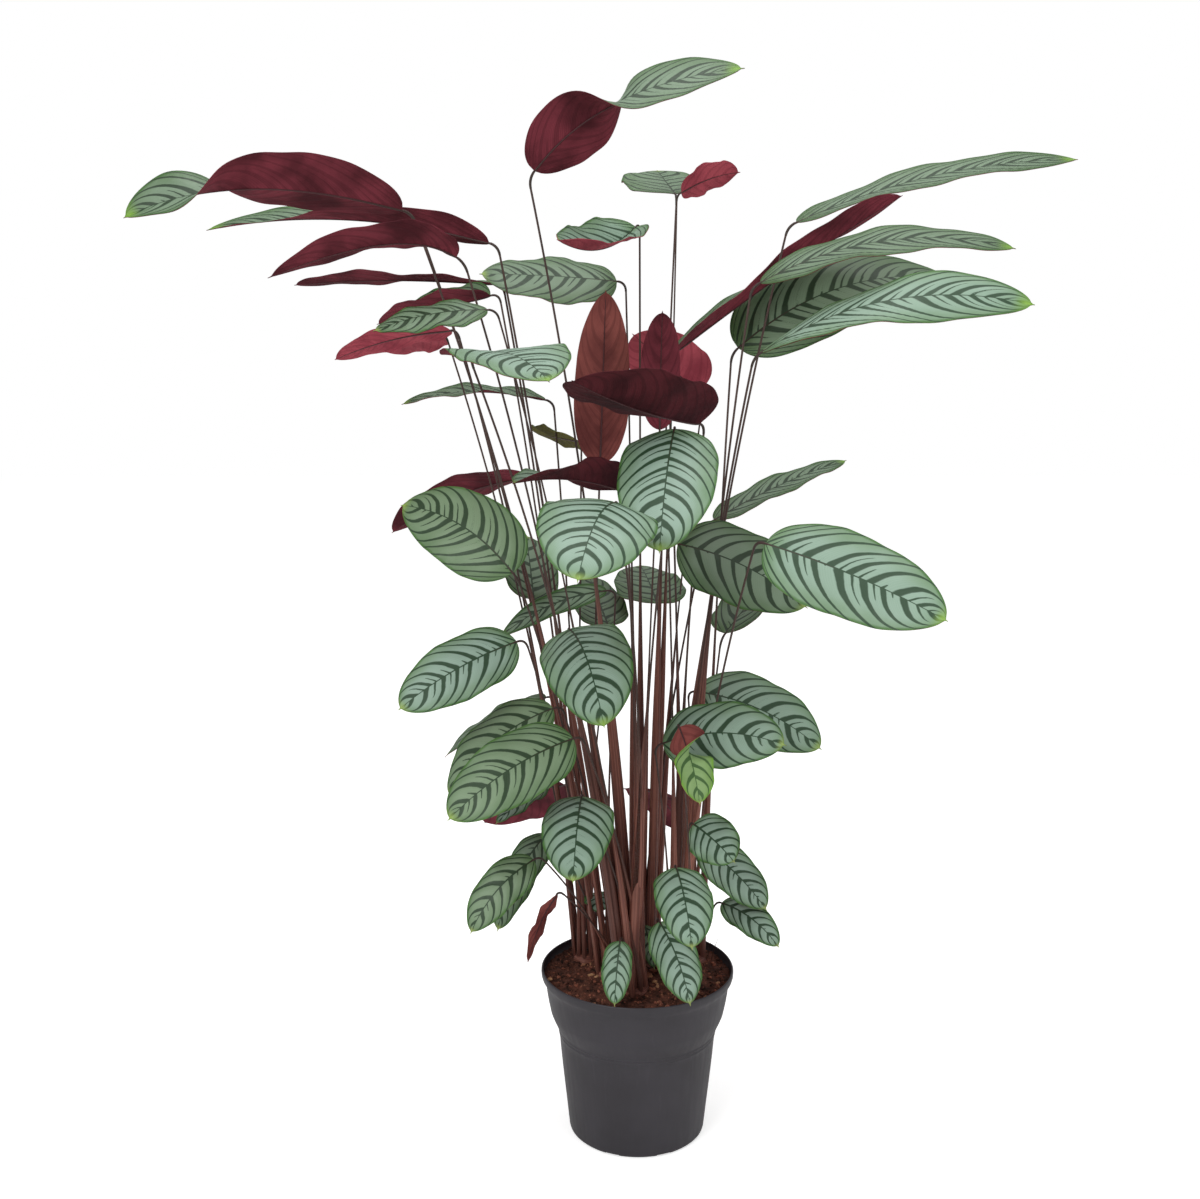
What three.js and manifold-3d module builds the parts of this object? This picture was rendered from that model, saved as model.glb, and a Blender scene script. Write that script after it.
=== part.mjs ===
import * as THREE from 'three';
import { mergeVertices } from 'three/addons/utils/BufferGeometryUtils.js';
import Module from 'manifold-3d';

// A potted never never plant: a nursery pot, its soil, six leafy shoots and their leaf blades.
// Millimetres, +Z up, the front of the plant looks along -Y.
// The origin is the middle of the pot's flat underside.

// Pot
const potHeight = 188;
const rimRadius = 105.5;
const rimFoot = 185;
const lipFoot = 178;
const lipFootRadius = 104;
const collarTop = 170;
const collarTopRadius = 100;
const collarMiddle = 152;
const collarMiddleRadius = 98;
const collarFoot = 136;
const collarFootRadius = 95;
const bodyTop = 112;
const bodyTopRadius = 86.5;
const footRadius = 75;
const footCorner = 5;
const wall = 2;
const potSides = 32;
const drainHoleRadius = 5;
const drainHoleRing = 48;
const drainHoleCount = 6;
const drainHoleSides = 12;
const footSlotCount = 8;
const footSlotWidth = 16;
const footSlotHeight = 2.5;
const footSlotDepth = 12;

// Soil
const soilLevel = 181;
const soilMound = 4;
const moundRadius = 32;
const moundShoulder = 2.8;
const moundShoulderRadius = 63;
const fitGap = 0.35;

// Shoots
const crownRadius = 19;
const crownFootRadius = 0.8 * crownRadius;
const crownShoulderRadius = 0.75 * crownRadius;
const crownDepth = 32;
const crownShoulder = 9;
const crownTop = 12;
const holeRadius = 21.5;
const crownSides = 12;
const footSink = 8;
const sheathRadius = 4.6;
const sheathTaper = 0.5;
const sheathEnd = 0.35;
const petioleStart = 0.65;
const fullSheathLength = 650;
const smallestSheath = 0.35;
const petioleRadius = 1.3;
const petioleSides = 4;
const outerFeet = 0.68;
const innerFeet = 0.34;
const innerShare = 0.3;
const petioleSteps = 5;
const shortPetioleSteps = 3;
const shortPetiole = 200;
const petioleRise = 0.5;
const petioleLean = 0.2;
const joinedReach = 3;

// Leaves
const bladeThickness = 0.9;
const midribHeight = 1.8;
const midribTaper = 0.7;
const jointRadius = 1.5;
const jointLength = 10;
const jointShare = 0.08;
const bladeStations = [0, 0.07, 0.2, 0.38, 0.58, 0.78, 0.93, 1];
const smallBladeStations = [0, 0.12, 0.34, 0.6, 0.85, 1];
const smallBladeWidth = 60;
const bladeColumns = [1, 0.5, 0, -0.5, -1];
const smallBladeColumns = [1, 0, -1];
const widestAt = 0.42;
const baseCurve = 3;
const tipCurve = 2.1;
const tipRoundness = 0.6;
const baseHalfWidth = 1.5;
const tipHalfWidth = 0.6;
const waveCount = 2.5;
const waveHeight = 1.5;
const waveLeafShift = 0.37;
const waveSideShift = 0.25;

const shoots = {
  left: { x: -30, y: -6 },
  front: { x: -4, y: -46 },
  right: { x: 42, y: -16 },
  back_left: { x: -56, y: 36 },
  back_right: { x: 8, y: 42 },
  far_right: { x: 60, y: 32 },
};

// Each leaf runs from its base to its tip. turn tilts the blade about its midrib at the base and
// at the tip, in degrees, and a positive turn lifts the left side. twist is the stretch of the
// midrib in which the one turn passes into the other. arch lifts the middle of the midrib, bow
// moves it to the left, fold lifts both halves, cup curls the margins up.
const leaves = [
  // long leaves of the upper left
  { name: 'leaf_top', shoot: 'front', base: [-108, 40, 1037], tip: [100, -20, 1128],
    width: 86, turn: [-36, 40], arch: 25, crest: 0.4, fold: 4, cup: 0, twist: [0.3, 0.65] },
  { name: 'leaf_high_left_1', shoot: 'left', base: [-243, 30, 997], tip: [-507, -40, 985],
    width: 80, turn: [40, -45], arch: 25, crest: 0.6, fold: 20, cup: 0, twist: [0.4, 0.85] },
  { name: 'leaf_high_left_2', shoot: 'back_left', base: [-157, 60, 966], tip: [-467, 120, 982],
    width: 60, turn: [30, -25], arch: 18, fold: 16, cup: 0 },
  { name: 'leaf_high_left_3', shoot: 'left', base: [-185, -10, 949], tip: [-364, -60, 927],
    width: 62, turn: [18, 30], arch: 20, fold: 18, cup: 0, crest: 0.25 },
  { name: 'leaf_high_left_4', shoot: 'back_left', base: [-155, 105, 925], tip: [-385, 175, 925],
    width: 54, turn: [2, 18], arch: 5, fold: 8, cup: 0 },
  { name: 'leaf_high_left_5', shoot: 'front', base: [-152, -45, 897], tip: [-261, -75, 876],
    width: 56, turn: [-25, -25], arch: 6, fold: 0, cup: -10 },
  { name: 'leaf_high_left_6', shoot: 'back_left', base: [-156, 55, 912], tip: [-281, 90, 882],
    width: 64, turn: [-8, -8], arch: 0, fold: 34, cup: 0 },
  { name: 'leaf_high_left_7', shoot: 'back_left', base: [-199, 60, 876], tip: [-343, 180, 842],
    width: 36, turn: [35, 40], arch: 6, fold: 8, cup: 0 },
  { name: 'leaf_high_left_8', shoot: 'back_left', base: [-215, 110, 871], tip: [-302, 215, 852],
    width: 56, turn: [30, 30], arch: 0, fold: 8, cup: 0, joined: true },
  { name: 'leaf_high_left_9', shoot: 'back_left', base: [-260, 190, 1007], tip: [-487, 260, 1039],
    width: 54, turn: [20, 20], arch: 0, fold: 6, cup: 0 },
  { name: 'leaf_mid_high_left', shoot: 'front', base: [-165, -60, 851], tip: [-85, -230, 834],
    width: 105, turn: [0, 10], arch: 14, fold: 8, cup: -10 },
  { name: 'leaf_edge_left', shoot: 'back_left', base: [-103, 160, 798], tip: [-269, 185, 791],
    width: 40, turn: [-6, -20], arch: 12, fold: 10, cup: 0 },
  { name: 'leaf_high_middle_1', shoot: 'back_right', base: [-23, 110, 928], tip: [-170, 88, 935],
    width: 100, turn: [-30, -28], arch: 2, fold: 0, cup: -10, sway: [6, 10] },
  { name: 'leaf_high_middle_2', shoot: 'back_right', base: [-3, 90, 984], tip: [-83, -50, 964],
    width: 70, turn: [-16, -16], arch: -16, fold: 30, cup: 0 },
  { name: 'leaf_high_middle_3', shoot: 'back_right', base: [39, 100, 1019], tip: [24, 220, 1054],
    width: 100, turn: [0, 0], arch: 0, fold: 6, cup: -10 },
  { name: 'leaf_high_middle_4', shoot: 'back_right', base: [44, 70, 1018], tip: [108, 100, 1041],
    width: 40, turn: [-50, -50], arch: 4, fold: 6, cup: 0, sway: [14, 24] },
  // long leaves of the upper right
  { name: 'leaf_high_right_1', shoot: 'right', base: [164, 60, 987], tip: [466, 100, 1054],
    width: 56, turn: [16, 30], arch: 16, fold: 4, cup: 0 },
  { name: 'leaf_high_right_2', shoot: 'far_right', base: [38, 60, 853], tip: [291, 150, 1021],
    width: 70, turn: [-9, -40], arch: 4, fold: 20, cup: 0 },
  { name: 'leaf_high_right_3', shoot: 'right', base: [121, 0, 924], tip: [370, -30, 956],
    width: 66, turn: [24, 26], arch: 25, fold: 0, cup: 0 },
  { name: 'leaf_high_right_4', shoot: 'far_right', base: [109, 100, 857], tip: [350, 160, 932],
    width: 104, turn: [55, 32], arch: 28, fold: 0, cup: 0 },
  { name: 'leaf_high_right_5', shoot: 'right', base: [120, -40, 856], tip: [369, -110, 901],
    width: 70, turn: [16, 58], arch: 28, fold: 0, cup: -6, sway: [0, 25] },
  { name: 'leaf_side_right', shoot: 'back_right', base: [89, 140, 664], tip: [256, 260, 720],
    width: 42, turn: [14, 14], arch: 6, fold: 4, cup: 0 },
  // broad leaves of the middle right
  { name: 'leaf_right_1', shoot: 'right', base: [115, -150, 680], tip: [267, -250, 625],
    width: 88, turn: [48, 48], arch: 5, fold: 0, cup: -12, sway: [0, 30] },
  { name: 'leaf_right_2', shoot: 'right', base: [38, -45, 664], tip: [167, -75, 603],
    width: 92, turn: [45, 45], arch: 10, fold: 0, cup: -12 },
  { name: 'leaf_right_3', shoot: 'far_right', base: [99, 90, 543], tip: [195, 200, 608],
    width: 84, turn: [-10, -10], arch: 8, fold: 6, cup: 0 },
  { name: 'leaf_right_4', shoot: 'far_right', base: [64, 30, 491], tip: [195, -10, 437],
    width: 84, turn: [40, 40], arch: 12, fold: 0, cup: -12 },
  { name: 'leaf_right_5', shoot: 'right', base: [23, -78, 464], tip: [143, -122, 474],
    width: 76, turn: [48, 48], arch: 12, fold: 0, cup: -12 },
  { name: 'leaf_young_curled', shoot: 'right', base: [37, -130, 495], tip: [55, -170, 428],
    width: 46, turn: [-125, -5], arch: 6, fold: 10, cup: 0, sway: [6, -74], twist: [0.1, 0.55] },
  { name: 'leaf_right_6', shoot: 'back_right', base: [7, 95, 362], tip: [60, 190, 274],
    width: 80, turn: [0, 0], arch: 10, fold: 0, cup: -10 },
  { name: 'leaf_low_right_1', shoot: 'right', base: [55, -75, 377], tip: [94, -130, 355],
    width: 50, turn: [45, 45], arch: 3, fold: 0, cup: -12 },
  { name: 'leaf_low_right_2', shoot: 'far_right', base: [68, 10, 324], tip: [138, -30, 264],
    width: 50, turn: [40, 40], arch: 6, fold: 0, cup: -12 },
  { name: 'leaf_low_right_3', shoot: 'far_right', base: [92, 0, 261], tip: [150, -50, 230],
    width: 36, turn: [40, 40], arch: 8, fold: 0, cup: -12, joined: true },
  { name: 'leaf_low_right_4', shoot: 'right', base: [36, -110, 343], tip: [48, -190, 289],
    width: 58, turn: [0, 0], arch: 10, fold: 0, cup: -12 },
  { name: 'leaf_low_right_5', shoot: 'right', base: [22, -60, 264], tip: [52, -110, 193],
    width: 50, turn: [10, 10], arch: 8, fold: 0, cup: -10 },
  // leaves of the middle
  { name: 'leaf_middle_1', shoot: 'front', base: [-27, -190, 724], tip: [-60, -320, 672],
    width: 104, turn: [-12, -12], arch: 18, fold: 0, cup: -14, sway: [24, 0] },
  { name: 'leaf_middle_2', shoot: 'front', base: [32, -70, 782], tip: [13, -200, 678],
    width: 96, turn: [0, 0], arch: 14, fold: 0, cup: -14 },
  { name: 'leaf_middle_3', shoot: 'right', base: [61, 0, 782], tip: [-67, -170, 833],
    width: 114, turn: [16, 18], arch: -6, fold: 20, cup: 0 },
  { name: 'leaf_middle_4', shoot: 'back_left', base: [-41, 80, 733], tip: [-35, 20, 917],
    width: 60, turn: [0, 0], arch: 0, fold: 10, cup: 0 },
  { name: 'leaf_middle_5', shoot: 'back_right', base: [22, 40, 773], tip: [22, -10, 896],
    width: 44, turn: [0, 0], arch: 10, fold: 20, cup: 0 },
  { name: 'leaf_middle_6', shoot: 'back_right', base: [70, 160, 807], tip: [-6, 110, 872],
    width: 80, turn: [45, 45], arch: 0, fold: 4, cup: 0 },
  { name: 'leaf_middle_7', shoot: 'front', base: [-21, -20, 716], tip: [-125, -120, 733],
    width: 72, turn: [28, 5], arch: 8, fold: 20, cup: 0 },
  { name: 'leaf_middle_8', shoot: 'back_left', base: [-65, 120, 755], tip: [-115, 250, 752],
    width: 60, turn: [30, 30], arch: 0, fold: 0, cup: 0, joined: true },
  { name: 'leaf_middle_9', shoot: 'front', base: [-72, -60, 579], tip: [-37, -220, 519],
    width: 88, turn: [18, 18], arch: 18, fold: 0, cup: -12 },
  { name: 'leaf_middle_10', shoot: 'back_right', base: [22, 80, 579], tip: [6, 200, 602],
    width: 80, turn: [0, 0], arch: 4, fold: 0, cup: -8, joined: true },
  { name: 'leaf_middle_11', shoot: 'back_left', base: [-32, 60, 558], tip: [-54, 180, 593],
    width: 60, turn: [0, 0], arch: 0, fold: 0, cup: -8, joined: true },
  // leaves of the left side
  { name: 'leaf_left_1', shoot: 'left', base: [-130, -40, 633], tip: [-252, 30, 694],
    width: 88, turn: [-50, -50], arch: 16, fold: 0, cup: -12 },
  { name: 'leaf_left_2', shoot: 'back_left', base: [-121, 165, 710], tip: [-290, 230, 636],
    width: 72, turn: [20, 25], arch: 12, fold: 10, cup: 0 },
  { name: 'leaf_left_3', shoot: 'back_left', base: [-117, 150, 570], tip: [-130, 250, 631],
    width: 66, turn: [10, 10], arch: 0, fold: 0, cup: 0 },
  { name: 'leaf_left_4', shoot: 'left', base: [-34, 30, 602], tip: [-148, 27, 552],
    width: 26, turn: [-70, -60], arch: 10, fold: 0, cup: 0 },
  { name: 'leaf_left_5', shoot: 'left', base: [-128, -20, 557], tip: [-245, -80, 499],
    width: 70, turn: [-46, -46], arch: 7, fold: 0, cup: -12 },
  { name: 'leaf_left_6', shoot: 'back_left', base: [-102, 95, 468], tip: [-219, 110, 393],
    width: 48, turn: [-8, -8], arch: 12, fold: 0, cup: 0, sway: [16, 6] },
  { name: 'leaf_left_7', shoot: 'left', base: [-90, -38, 490], tip: [-198, -62, 401],
    width: 76, turn: [-30, -30], arch: 14, fold: 0, cup: -10 },
  { name: 'leaf_left_8', shoot: 'front', base: [-68, -85, 471], tip: [-190, -150, 406],
    width: 76, turn: [-42, -42], arch: 10, fold: 0, cup: -12 },
  { name: 'leaf_left_9', shoot: 'back_left', base: [-81, 80, 370], tip: [-182, 200, 283],
    width: 90, turn: [40, 40], arch: 10, fold: 0, cup: 0 },
  { name: 'leaf_left_10', shoot: 'back_left', base: [-98, 20, 389], tip: [-153, -20, 357],
    width: 30, turn: [-10, -10], arch: 4, fold: 0, cup: 0, joined: true },
  { name: 'leaf_low_left_1', shoot: 'front', base: [-60, -70, 405], tip: [-67, -190, 357],
    width: 72, turn: [0, 0], arch: 12, fold: 0, cup: -12 },
  { name: 'leaf_low_left_2', shoot: 'left', base: [-111, -50, 329], tip: [-175, -90, 263],
    width: 46, turn: [-40, -40], arch: 10, fold: 0, cup: -12 },
  { name: 'leaf_low_left_3', shoot: 'left', base: [-100, 15, 334], tip: [-152, -20, 236],
    width: 46, turn: [-20, -20], arch: 10, fold: 0, cup: -12 },
  // small leaves, grown together with their shoot
  { name: 'small_low_left_1', shoot: 'left', base: [-87, -60, 294], tip: [-120, -10, 196],
    width: 17, turn: [0, 0], arch: 6, fold: 0, cup: 0, joined: true },
  { name: 'small_low_left_2', shoot: 'left', base: [-46, 10, 269], tip: [-41, -12, 252],
    width: 30, turn: [0, 0], arch: 4, fold: 0, cup: 0, joined: true },
  { name: 'small_front', shoot: 'front', base: [-20, -75, 249], tip: [-26, -105, 190],
    width: 32, turn: [0, 0], arch: 5, fold: 10, cup: -10, joined: true },
  { name: 'small_right', shoot: 'back_right', base: [8, 10, 231], tip: [18, -20, 192],
    width: 24, turn: [0, 0], arch: 4, fold: 0, cup: 0, joined: true },
];

const colours = {
  pot: { color: 0x3d3a40, roughness: 0.55, metalness: 0 },
  soil: { color: 0x3b2419, roughness: 1, metalness: 0 },
  shoot: { color: 0x5a3431, roughness: 0.6, metalness: 0 },
  leaf: { color: 0x7e9c86, roughness: 0.5, metalness: 0 },
};

const degree = Math.PI / 180;
const up = new THREE.Vector3(0, 0, 1);
const library = await Module();
library.setup();

// Solids

function toSolid(geometry) {
  const bare = geometry.clone();
  bare.deleteAttribute('normal');
  bare.deleteAttribute('uv');
  const merged = mergeVertices(bare, 1e-3);
  return new library.Manifold(new library.Mesh({
    numProp: 3,
    vertProperties: new Float32Array(merged.attributes.position.array),
    triVerts: new Uint32Array(merged.index.array),
  }));
}

function toGeometry(solid) {
  const mesh = solid.getMesh();
  const geometry = new THREE.BufferGeometry();
  geometry.setAttribute('position', new THREE.BufferAttribute(mesh.vertProperties, 3));
  geometry.setIndex(new THREE.BufferAttribute(mesh.triVerts, 1));
  geometry.computeVertexNormals();
  return geometry;
}

function turned(profile, sides) {
  const points = profile.map(([radius, height]) => new THREE.Vector2(radius, height));
  return new THREE.LatheGeometry(points, sides).rotateX(Math.PI / 2);
}

// Skin over a row of rings. Past the ring point mirroredFrom the squares split the other way,
// so that the two faces of a blade have the same triangles.
function loft(rings, mirroredFrom) {
  const count = rings[0].length;
  const positions = rings.flat().flatMap((point) => [point.x, point.y, point.z]);
  const triangles = [];
  for (let ring = 0; ring < rings.length - 1; ring += 1) {
    for (let side = 0; side < count; side += 1) {
      const here = ring * count + side;
      const beside = ring * count + ((side + 1) % count);
      const above = here + count;
      const across = beside + count;
      if (side >= mirroredFrom && side < count - 1) {
        triangles.push(here, beside, above, beside, across, above);
      } else {
        triangles.push(here, beside, across, here, across, above);
      }
    }
  }
  const last = (rings.length - 1) * count;
  for (let side = 1; side < count - 1; side += 1) {
    triangles.push(0, side + 1, side);
    triangles.push(last, last + side, last + side + 1);
  }
  const geometry = new THREE.BufferGeometry();
  geometry.setAttribute('position', new THREE.Float32BufferAttribute(positions, 3));
  geometry.setIndex(triangles);
  geometry.computeVertexNormals();
  return geometry;
}

function ringAround(centre, across, above, radius, angles) {
  return angles.map((angle) => centre.clone()
    .addScaledVector(across, radius * Math.cos(angle))
    .addScaledVector(above, radius * Math.sin(angle)));
}

// Pot

const outerProfile = [
  [footRadius - footCorner, 0],
  [footRadius, footCorner],
  [bodyTopRadius, bodyTop],
  [collarFootRadius, collarFoot],
  [collarMiddleRadius, collarMiddle],
  [collarTopRadius, collarTop],
  [lipFootRadius, lipFoot],
  [rimRadius, rimFoot],
  [rimRadius, potHeight],
];

function innerRadiusAt(height) {
  for (let index = 1; index < outerProfile.length; index += 1) {
    const [lowRadius, low] = outerProfile[index - 1];
    const [highRadius, high] = outerProfile[index];
    if (height <= high) {
      return THREE.MathUtils.mapLinear(height, low, high, lowRadius, highRadius) - wall;
    }
  }
  return rimRadius - wall;
}

const innerHeights = [bodyTop, collarFoot, soilLevel];

function makePot() {
  const inner = innerHeights.map((height) => [innerRadiusAt(height), height]);
  inner.unshift([innerRadiusAt(wall + footCorner), wall + footCorner]);
  inner.unshift([footRadius - footCorner - wall, wall]);
  const profile = [[0, 0], ...outerProfile, [rimRadius - wall, potHeight], ...inner.reverse(), [0, wall]];
  let pot = toSolid(turned(profile, potSides));
  for (let index = 0; index < drainHoleCount; index += 1) {
    const angle = (index + 0.5) * 2 * Math.PI / drainHoleCount;
    const drill = new THREE.CylinderGeometry(drainHoleRadius, drainHoleRadius, 4 * wall, drainHoleSides);
    drill.rotateX(Math.PI / 2);
    drill.translate(drainHoleRing * Math.cos(angle), drainHoleRing * Math.sin(angle), 0);
    pot = pot.subtract(toSolid(drill));
  }
  for (let index = 0; index < footSlotCount; index += 1) {
    const cutter = new THREE.BoxGeometry(footSlotDepth, footSlotWidth, 2 * footSlotHeight);
    cutter.translate(footRadius - footCorner, 0, 0);
    cutter.rotateZ((index + 0.5) * 2 * Math.PI / footSlotCount);
    pot = pot.subtract(toSolid(cutter));
  }
  return toGeometry(pot);
}

// Soil, with one plain round hole for each shoot

function makeSoil() {
  const sides = innerHeights.filter((height) => height < soilLevel - 1)
    .map((height) => [innerRadiusAt(height) - fitGap, height]);
  const floor = wall + fitGap;
  const profile = [
    [0, floor],
    [footRadius - footCorner - wall - fitGap, floor],
    [innerRadiusAt(wall + footCorner) - fitGap, wall + footCorner + fitGap],
    ...sides,
    [innerRadiusAt(soilLevel) - fitGap, soilLevel],
    [moundShoulderRadius, soilLevel + moundShoulder],
    [moundRadius, soilLevel + soilMound],
    [0, soilLevel + soilMound],
  ];
  let soil = toSolid(turned(profile, potSides));
  const height = crownDepth + 3 * soilMound;
  for (const crown of Object.values(shoots)) {
    const drill = new THREE.CylinderGeometry(holeRadius, holeRadius, height, crownSides);
    drill.rotateX(Math.PI / 2);
    drill.translate(crown.x, crown.y, soilLevel - crownDepth + height / 2);
    soil = soil.subtract(toSolid(drill));
  }
  return toGeometry(soil);
}

// Leaf blades

function outlineAt(along) {
  if (along < widestAt) {
    return Math.sqrt(1 - Math.pow(1 - along / widestAt, baseCurve));
  }
  return Math.pow(1 - Math.pow((along - widestAt) / (1 - widestAt), tipCurve), tipRoundness);
}

// The midrib's curve, with the frame of the blade on it
function midribOf(leaf) {
  const base = new THREE.Vector3(...leaf.base);
  const tip = new THREE.Vector3(...leaf.tip);
  const chord = tip.clone().sub(base);
  const left = new THREE.Vector3(-chord.y, chord.x, 0).normalize();
  const lift = chord.clone().cross(left).normalize();
  const middle = base.clone()
    .addScaledVector(chord, leaf.crest ?? 0.5)
    .addScaledVector(lift, 2 * leaf.arch)
    .addScaledVector(left, 2 * (leaf.bow ?? 0));
  const curve = new THREE.QuadraticBezierCurve3(base, middle, tip);
  const frameAt = (along) => {
    const ahead = curve.getTangent(along);
    const level = left.clone().addScaledVector(ahead, -left.dot(ahead)).normalize();
    const above = ahead.clone().cross(level);
    const eased = THREE.MathUtils.smootherstep(along, ...(leaf.twist ?? [0, 1]));
    const angle = THREE.MathUtils.lerp(leaf.turn[0], leaf.turn[1], eased) * degree;
    return {
      centre: curve.getPoint(along),
      ahead,
      left: level.clone().multiplyScalar(Math.cos(angle)).addScaledVector(above, Math.sin(angle)),
      above: above.clone().multiplyScalar(Math.cos(angle)).addScaledVector(level, -Math.sin(angle)),
    };
  };
  return { base, length: curve.getLength(), frameAt };
}

function bladeRing(leaf, midrib, along, columns) {
  const frame = midrib.frameAt(along);
  const order = leaves.indexOf(leaf);
  const full = outlineAt(along);
  const halfWidth = Math.max(full * leaf.width / 2, along < widestAt ? baseHalfWidth : tipHalfWidth);
  const top = [];
  const bottom = [];
  for (const column of columns) {
    const out = Math.abs(column);
    const side = Math.sign(column);
    const rise = (leaf.fold + leaf.cup * out / 2) * degree;
    const slope = (leaf.fold + leaf.cup * out) * degree;
    const wave = waveHeight * full * out * out
      * Math.sin(2 * Math.PI * (waveCount * along + waveLeafShift * order + waveSideShift * side));
    const point = frame.centre.clone()
      .addScaledVector(frame.left, side * out * halfWidth * Math.cos(rise))
      .addScaledVector(frame.above, out * halfWidth * Math.sin(rise) + wave);
    const normal = frame.above.clone().multiplyScalar(Math.cos(slope))
      .addScaledVector(frame.left, -side * Math.sin(slope));
    const rib = column === 0 ? midribHeight * (1 - midribTaper * along) : 0;
    top.push(point.clone().addScaledVector(normal, bladeThickness / 2));
    bottom.unshift(point.clone().addScaledVector(normal, -bladeThickness / 2 - rib));
  }
  return [...top, ...bottom];
}

// The thick joint between petiole and blade, from where the petiole ends to the blade's base
function jointOf(leaf, midrib, control, columns) {
  const length = Math.min(jointLength, jointShare * midrib.length);
  const start = midrib.frameAt(0);
  const corner = midrib.base.clone().addScaledVector(start.ahead, -length);
  const ahead = corner.clone().sub(control).normalize();
  const end = corner.clone().addScaledVector(ahead, -length);
  const curve = new THREE.QuadraticBezierCurve3(end, corner, midrib.base);
  const spread = 90 * (1 - 1 / columns.length);
  const angles = columns.map((column) => (90 - spread * column) * degree);
  angles.push(...angles.map((angle) => angle + Math.PI));
  const rings = [0, 0.5].map((part) => {
    const turn = new THREE.Quaternion().setFromUnitVectors(start.ahead, curve.getTangent(part));
    const across = start.left.clone().applyQuaternion(turn);
    const above = start.above.clone().applyQuaternion(turn);
    return ringAround(curve.getPoint(part), across, above, jointRadius, angles);
  });
  return { end, ahead, rings };
}

// Shoots: a crown in the soil, and a sheathed petiole for each leaf

// The point that bends a petiole; sway, where a leaf has one, moves it clear of its neighbours
function petioleControl(foot, goal, leaf) {
  const [x, y] = leaf.sway ?? [0, 0];
  return new THREE.Vector3(
    THREE.MathUtils.lerp(foot.x, goal.x, petioleLean) + x,
    THREE.MathUtils.lerp(foot.y, goal.y, petioleLean) + y,
    THREE.MathUtils.lerp(foot.z, goal.z, petioleRise),
  );
}

function sheathRadiusAt(part, length) {
  const scale = THREE.MathUtils.clamp(length / fullSheathLength, smallestSheath, 1);
  const sheath = sheathRadius * scale * (1 - sheathTaper * part);
  const thinning = THREE.MathUtils.smoothstep(part, sheathEnd, petioleStart);
  return THREE.MathUtils.lerp(sheath, petioleRadius, thinning);
}

function makePetiole(foot, control, end) {
  const curve = new THREE.QuadraticBezierCurve3(foot, control, end);
  const length = curve.getLength();
  const steps = length < shortPetiole ? shortPetioleSteps : petioleSteps;
  const angles = [];
  for (let side = 0; side < petioleSides; side += 1) {
    angles.push(side * 2 * Math.PI / petioleSides);
  }
  const rings = [];
  for (let step = 0; step <= steps; step += 1) {
    const part = step / steps;
    const turn = new THREE.Quaternion().setFromUnitVectors(up, curve.getTangent(part));
    const across = new THREE.Vector3(1, 0, 0).applyQuaternion(turn);
    const beside = new THREE.Vector3(0, 1, 0).applyQuaternion(turn);
    rings.push(ringAround(curve.getPoint(part), across, beside, sheathRadiusAt(part, length), angles));
  }
  return loft(rings, petioleSides);
}

function makeCrown(crown) {
  const profile = [
    [0, soilLevel - crownDepth + fitGap],
    [crownFootRadius, soilLevel - crownDepth + fitGap],
    [crownRadius, soilLevel],
    [crownShoulderRadius, soilLevel + crownShoulder],
    [0, soilLevel + crownTop],
  ];
  return turned(profile, crownSides).translate(crown.x, crown.y, 0);
}

const footLevel = soilLevel - footSink;
const plant = new THREE.Group();

function addMesh(parent, name, geometry, kind) {
  const mesh = new THREE.Mesh(geometry, new THREE.MeshStandardMaterial(colours[kind]));
  mesh.name = name;
  parent.add(mesh);
}

// Where each petiole of a shoot stands on its crown: the steepest ones inside, the others round
// them, both in the order of the directions that their leaves lie in
function feetOf(own, crown) {
  const away = (leaf) => Math.hypot(leaf.base[0] - crown.x, leaf.base[1] - crown.y)
    / (leaf.base[2] - soilLevel);
  const bearing = (leaf) => Math.atan2(leaf.base[1] - crown.y, leaf.base[0] - crown.x);
  const steepFirst = [...own].sort((one, other) => away(one) - away(other));
  const innerCount = Math.floor(innerShare * own.length);
  const feet = new Map();
  const stand = (group, ring) => {
    group.sort((one, other) => bearing(one) - bearing(other));
    group.forEach((leaf, index) => {
      const angle = (index + 0.5) * 2 * Math.PI / group.length - Math.PI;
      feet.set(leaf, new THREE.Vector3(
        crown.x + ring * Math.cos(angle), crown.y + ring * Math.sin(angle), footLevel));
    });
  };
  stand(steepFirst.slice(0, innerCount), innerFeet * crownRadius);
  stand(steepFirst.slice(innerCount), outerFeet * crownRadius);
  return feet;
}

function addShoot(name, crown) {
  const own = leaves.filter((leaf) => leaf.shoot === name);
  const feet = feetOf(own, crown);
  let shoot = toSolid(makeCrown(crown));
  for (const leaf of own) {
    const foot = feet.get(leaf);
    const midrib = midribOf(leaf);
    const control = petioleControl(foot, midrib.base, leaf);
    const small = leaf.joined || leaf.width < smallBladeWidth;
    const stations = small ? smallBladeStations : bladeStations;
    const columns = small ? smallBladeColumns : bladeColumns;
    const joint = jointOf(leaf, midrib, control, columns);
    const blade = [...joint.rings, ...stations.map((along) => bladeRing(leaf, midrib, along, columns))];
    const skin = loft(blade, columns.length);
    const reach = leaf.joined ? joinedReach : -fitGap;
    const end = joint.end.clone().addScaledVector(joint.ahead, reach);
    shoot = shoot.add(toSolid(makePetiole(foot, control, end)));
    if (leaf.joined) {
      shoot = shoot.add(toSolid(skin));
    } else {
      addMesh(plant, leaf.name, skin, 'leaf');
    }
  }
  addMesh(plant, `shoot_${name}`, toGeometry(shoot), 'shoot');
}

addMesh(plant, 'pot', makePot(), 'pot');
addMesh(plant, 'soil', makeSoil(), 'soil');
for (const [name, crown] of Object.entries(shoots)) {
  addShoot(name, crown);
}

export default plant;
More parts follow.
